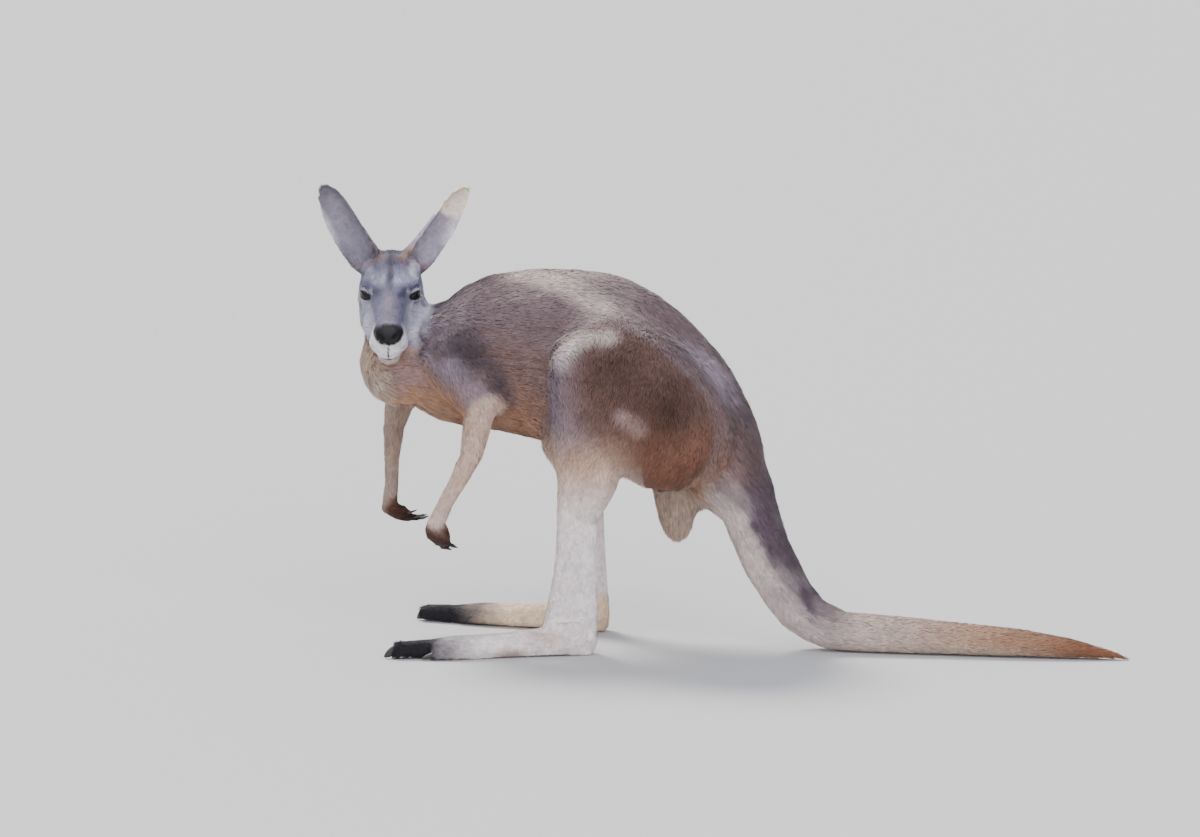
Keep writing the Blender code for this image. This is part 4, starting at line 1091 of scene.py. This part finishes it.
def build_coat(skin):
    """Flat tapering tufts, each a quad and a point, that rise from the skin and lie along it."""
    roots, up, ways, shape, rng = scatter(skin)
    count = len(roots)
    depth, length, width = shape.T
    clump = noise(roots, CLUMP) - 0.5
    sway = np.cross(up, ways)
    ways = unit(ways + sway * (rng.normal(0, 0.1, count) + clump * 0.35)[:, None])
    across = unit(np.cross(up, ways))
    length = length * rng.uniform(*LENGTHS, count)
    width = width * rng.uniform(*WIDTHS, count) * 0.5
    lift = depth * rng.uniform(*LIFTS, count) * (1 + clump * 0.5)
    bend = roots + ways * (length * 0.48)[:, None] + up * (lift * 0.8)[:, None]
    tip = roots + ways * length[:, None] + up * lift[:, None] * 0.92
    buried = roots - up * 0.0005
    tilt = across + up * rng.normal(0, 0.14, count)[:, None]
    narrow, wide = tilt * (width * 0.8)[:, None], tilt * width[:, None]
    strips = np.stack((buried - narrow, buried + narrow, bend - wide, bend + wide, tip), 1)
    strips[:, :, 2] = np.maximum(strips[:, :, 2], ABOVE_FLOOR)
    grain = noise(roots, GRAIN) - 0.5
    tone = 1 + rng.normal(0, 0.08, count) + grain * 0.34 + clump * 0.26
    colours = markings(roots, up) * np.clip(tone, *TONES)[:, None]
    leaning = unit(up + ways * 0.15 + across * rng.normal(0, 0.22, count)[:, None])
    patches = unwrap(roots)
    return [
        coat_piece(f"coat_{number}", strips[chosen], colours[chosen], patches[chosen], leaning[chosen])
        for number, chosen in enumerate(np.array_split(piece_order(roots), COAT_PIECES), 1)
    ]


PATCH = 0.003  # each tuft's size on the OFBake map
PATCH_SHAPE = np.array(((0.0, 0.0), (1.0, 0.0), (0.0, 0.5), (1.0, 0.5), (0.5, 1.0)))
ROOT_SHADE = (0.88, 0.88, 1.0, 1.0, 1.08)


def coat_piece(name, strips, colours, patches, leaning):
    """One mesh of many tufts, each of five points, a quad and a triangle."""
    count = len(strips)
    mesh = bpy.data.meshes.new(name)
    base = np.arange(count)[:, None] * 5
    quads = base + np.array((1, 0, 2, 3))
    tips = base + np.array((3, 2, 4))
    loops = np.concatenate((quads.ravel(), tips.ravel()))
    starts = np.concatenate((np.arange(count) * 4, count * 4 + np.arange(count) * 3))
    totals = np.concatenate((np.full(count, 4), np.full(count, 3)))
    mesh.vertices.add(count * 5)
    mesh.vertices.foreach_set("co", strips.ravel())
    mesh.loops.add(len(loops))
    mesh.loops.foreach_set("vertex_index", loops)
    mesh.polygons.add(count * 2)
    mesh.polygons.foreach_set("loop_start", starts)
    mesh.polygons.foreach_set("loop_total", totals)
    mesh.update(calc_edges=True)
    mesh.validate()
    layer = mesh.uv_layers.new(name="OFBake")
    flat = (patches[:, None, :] + PATCH_SHAPE * PATCH).reshape(-1, 2)
    layer.data.foreach_set("uv", flat[loops].ravel())
    shade = np.array(ROOT_SHADE)[None, :, None]
    paint(mesh, (colours[:, None, :] * shade).reshape(-1, 3))
    mesh.shade_smooth()
    mesh.normals_split_custom_set_from_vertices(np.repeat(leaning, 5, axis=0))
    return add_object(name, mesh)


# ---- eyes and claws

BALL = 0.985  # the eyeball's radius, as a share of the solid eye's


def build_eye(side):
    """A finer ball in the solid eye's place."""
    along, out, rise = eye_axes(side)
    turn = Matrix((along, rise, out)).transposed().to_4x4()
    place = Matrix.Translation(Vector(EYE_POINTS[side])) @ turn
    bm = bmesh.new()
    bmesh.ops.create_uvsphere(bm, u_segments=48, v_segments=32, radius=EYE_RADIUS * BALL, matrix=place)
    mesh = mesh_from(bm, f"eyeball_{side}")
    mesh.shade_smooth()
    return add_object(f"eyeball_{side}", mesh)


def build_claw(name):
    """The solid claw, rounded."""
    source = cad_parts[name]
    bm = bmesh.new()
    bm.from_mesh(source.data)
    bmesh.ops.remove_doubles(bm, verts=bm.verts, dist=WELD)
    mesh = mesh_from(bm, f"horn_{name}")
    mesh.materials.clear()
    claw = add_object(f"horn_{name}", mesh)
    claw.matrix_world = source.matrix_world
    rounding = claw.modifiers.new("round", "SUBSURF")
    rounding.levels = 2
    settle(claw)
    claw.data.shade_smooth()
    return claw


# ---- materials


def new_material(name, inputs):
    """A material whose shader has these inputs, with its node tree and the shader."""
    material = bpy.data.materials.new(name)
    material.use_nodes = True
    shader = material.node_tree.nodes["Principled BSDF"]
    for key, value in inputs.items():
        shader.inputs[key].default_value = value
    return material, material.node_tree, shader


def add_bump(tree, shader, scale, strength, distance):
    """Fine noise that roughens the surface."""
    texture = tree.nodes.new("ShaderNodeTexNoise")
    texture.inputs["Scale"].default_value = scale
    texture.inputs["Detail"].default_value = 4.0
    lump = tree.nodes.new("ShaderNodeBump")
    lump.inputs["Strength"].default_value = strength
    lump.inputs["Distance"].default_value = distance
    tree.links.new(texture.outputs["Fac"], lump.inputs["Height"])
    tree.links.new(lump.outputs["Normal"], shader.inputs["Normal"])
    return texture


def coat_material(name, roughness, sheen=0.0, specular=0.25):
    """Reads the markings that are stored on the mesh."""
    inputs = {"Roughness": roughness, "Specular IOR Level": specular}
    inputs |= {"Sheen Weight": sheen, "Sheen Roughness": 0.5}
    material, tree, shader = new_material(name, inputs)
    stored = tree.nodes.new("ShaderNodeAttribute")
    stored.attribute_name = "coat"
    tree.links.new(stored.outputs["Color"], shader.inputs["Base Color"])
    return material, tree, shader


def skin_material():
    material, tree, shader = coat_material("skin_under_coat", 0.85)
    add_bump(tree, shader, 900, 0.35, 0.0006)
    return material


def nose_material():
    """Bare leathery skin of the nose and the lids' rims."""
    material, tree, shader = coat_material("nose_skin", 0.45, specular=0.3)
    add_bump(tree, shader, 1100, 0.5, 0.0005)
    return material


def fur_material():
    return coat_material("short_fur", 0.72, sheen=0.08)[0]


def eye_material():
    return new_material("dark_eye", {
        "Roughness": 0.1, "Base Color": (0.007, 0.005, 0.004, 1), "Specular IOR Level": 0.22,
        "Coat Weight": 0.15, "Coat Roughness": 0.03})[0]


def claw_material():
    material, tree, shader = new_material("claw_horn", {"Roughness": 0.38})
    texture = add_bump(tree, shader, 500, 0.25, 0.0004)
    shades = tree.nodes.new("ShaderNodeValToRGB")
    shades.color_ramp.elements[0].color = (0.012, 0.01, 0.01, 1)
    shades.color_ramp.elements[1].color = (0.06, 0.05, 0.046, 1)
    tree.links.new(texture.outputs["Fac"], shades.inputs["Fac"])
    tree.links.new(shades.outputs["Color"], shader.inputs["Base Color"])
    return material


# ---- camera, floor and light

CAMERA_AZIMUTH = 10.0
CAMERA_TILT = 8.14
CAMERA_LENS = 135.0
SENSOR = 36.0
CAMERA_AT = Vector((1.0185, -6.8269, 1.3491))
FAR_CLIP = 60
FLOOR_SIZE = 60
FLOOR_SHADE = (0.55, 0.54, 0.53, 1)
SKY_SHADE = (0.84, 0.9, 1.04, 1)
SKY_STRENGTH = 0.85


def build_camera():
    data = bpy.data.cameras.new("camera")
    data.lens = CAMERA_LENS
    data.sensor_width = SENSOR
    data.clip_end = FAR_CLIP
    camera = add_object("camera", data)
    camera.location = CAMERA_AT
    camera.rotation_euler = (math.radians(90 - CAMERA_TILT), 0, math.radians(CAMERA_AZIMUTH))
    bpy.context.scene.camera = camera


def sun_light(name, toward, power, spread, colour):
    """A soft light as wide as spread degrees, far off in this direction."""
    data = bpy.data.lights.new(name, "SUN")
    data.energy = power
    data.angle = math.radians(spread)
    data.color = colour
    light = add_object(name, data)
    light.rotation_euler = Vector(toward).to_track_quat("Z", "Y").to_euler()


def build_studio():
    """A pale floor, an even sky and two soft suns."""
    bm = bmesh.new()
    bmesh.ops.create_grid(bm, x_segments=1, y_segments=1, size=FLOOR_SIZE)
    floor = add_object("floor", mesh_from(bm, "floor"))
    floor.data.materials.append(new_material("pale_floor", {"Roughness": 0.8, "Base Color": FLOOR_SHADE})[0])
    world = bpy.data.worlds.new("studio")
    world.use_nodes = True
    background = world.node_tree.nodes["Background"]
    background.inputs["Color"].default_value = SKY_SHADE
    background.inputs["Strength"].default_value = SKY_STRENGTH
    bpy.context.scene.world = world
    sun_light("sky_side", (-0.55, 0.5, 1.0), 4.5, 20, (1.0, 0.97, 0.92))
    sun_light("front", (0.3, -1.0, 0.75), 2.1, 60, (0.98, 0.98, 1.02))


# ---- putting it together

SKIN_SHADE = 0.88  # the skin is this much darker than the tufts over it


def finish_skin(skin):
    """The skin's colours, and its two materials: under the coat, and bare on the nose and the lids' rims."""
    mesh = skin.data
    paint(mesh, markings(points_of(mesh), normals_of(mesh)) * SKIN_SHADE)
    mesh.materials.clear()
    mesh.materials.append(skin_material())
    mesh.materials.append(nose_material())
    centres = read_vectors(mesh.polygons, "center")
    bare = nose_share(centres) > 0.5
    for side in SIDES:
        share, distance = eye_opening(side, centres)
        bare |= (share < 1.3) & (distance < EYE_RADIUS * 1.3)
    mesh.polygons.foreach_set("material_index", bare.astype(np.int32))


def main():
    skin = build_skin()
    coat = build_coat(skin)
    finish_skin(skin)
    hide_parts(*FLESH)
    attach(skin, "root")
    fur = fur_material()
    for piece in coat:
        piece.data.materials.append(fur)
        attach(piece, "root")
    ball_material = eye_material()
    for side in SIDES:
        ball = build_eye(side)
        ball.data.materials.append(ball_material)
        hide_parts(f"eye_{side}")
        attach(ball, "root")
    horn = claw_material()
    for name in CLAWS:
        claw = build_claw(name)
        claw.data.materials.append(horn)
        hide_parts(name)
        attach(claw, "root")
    build_camera()
    build_studio()


main()
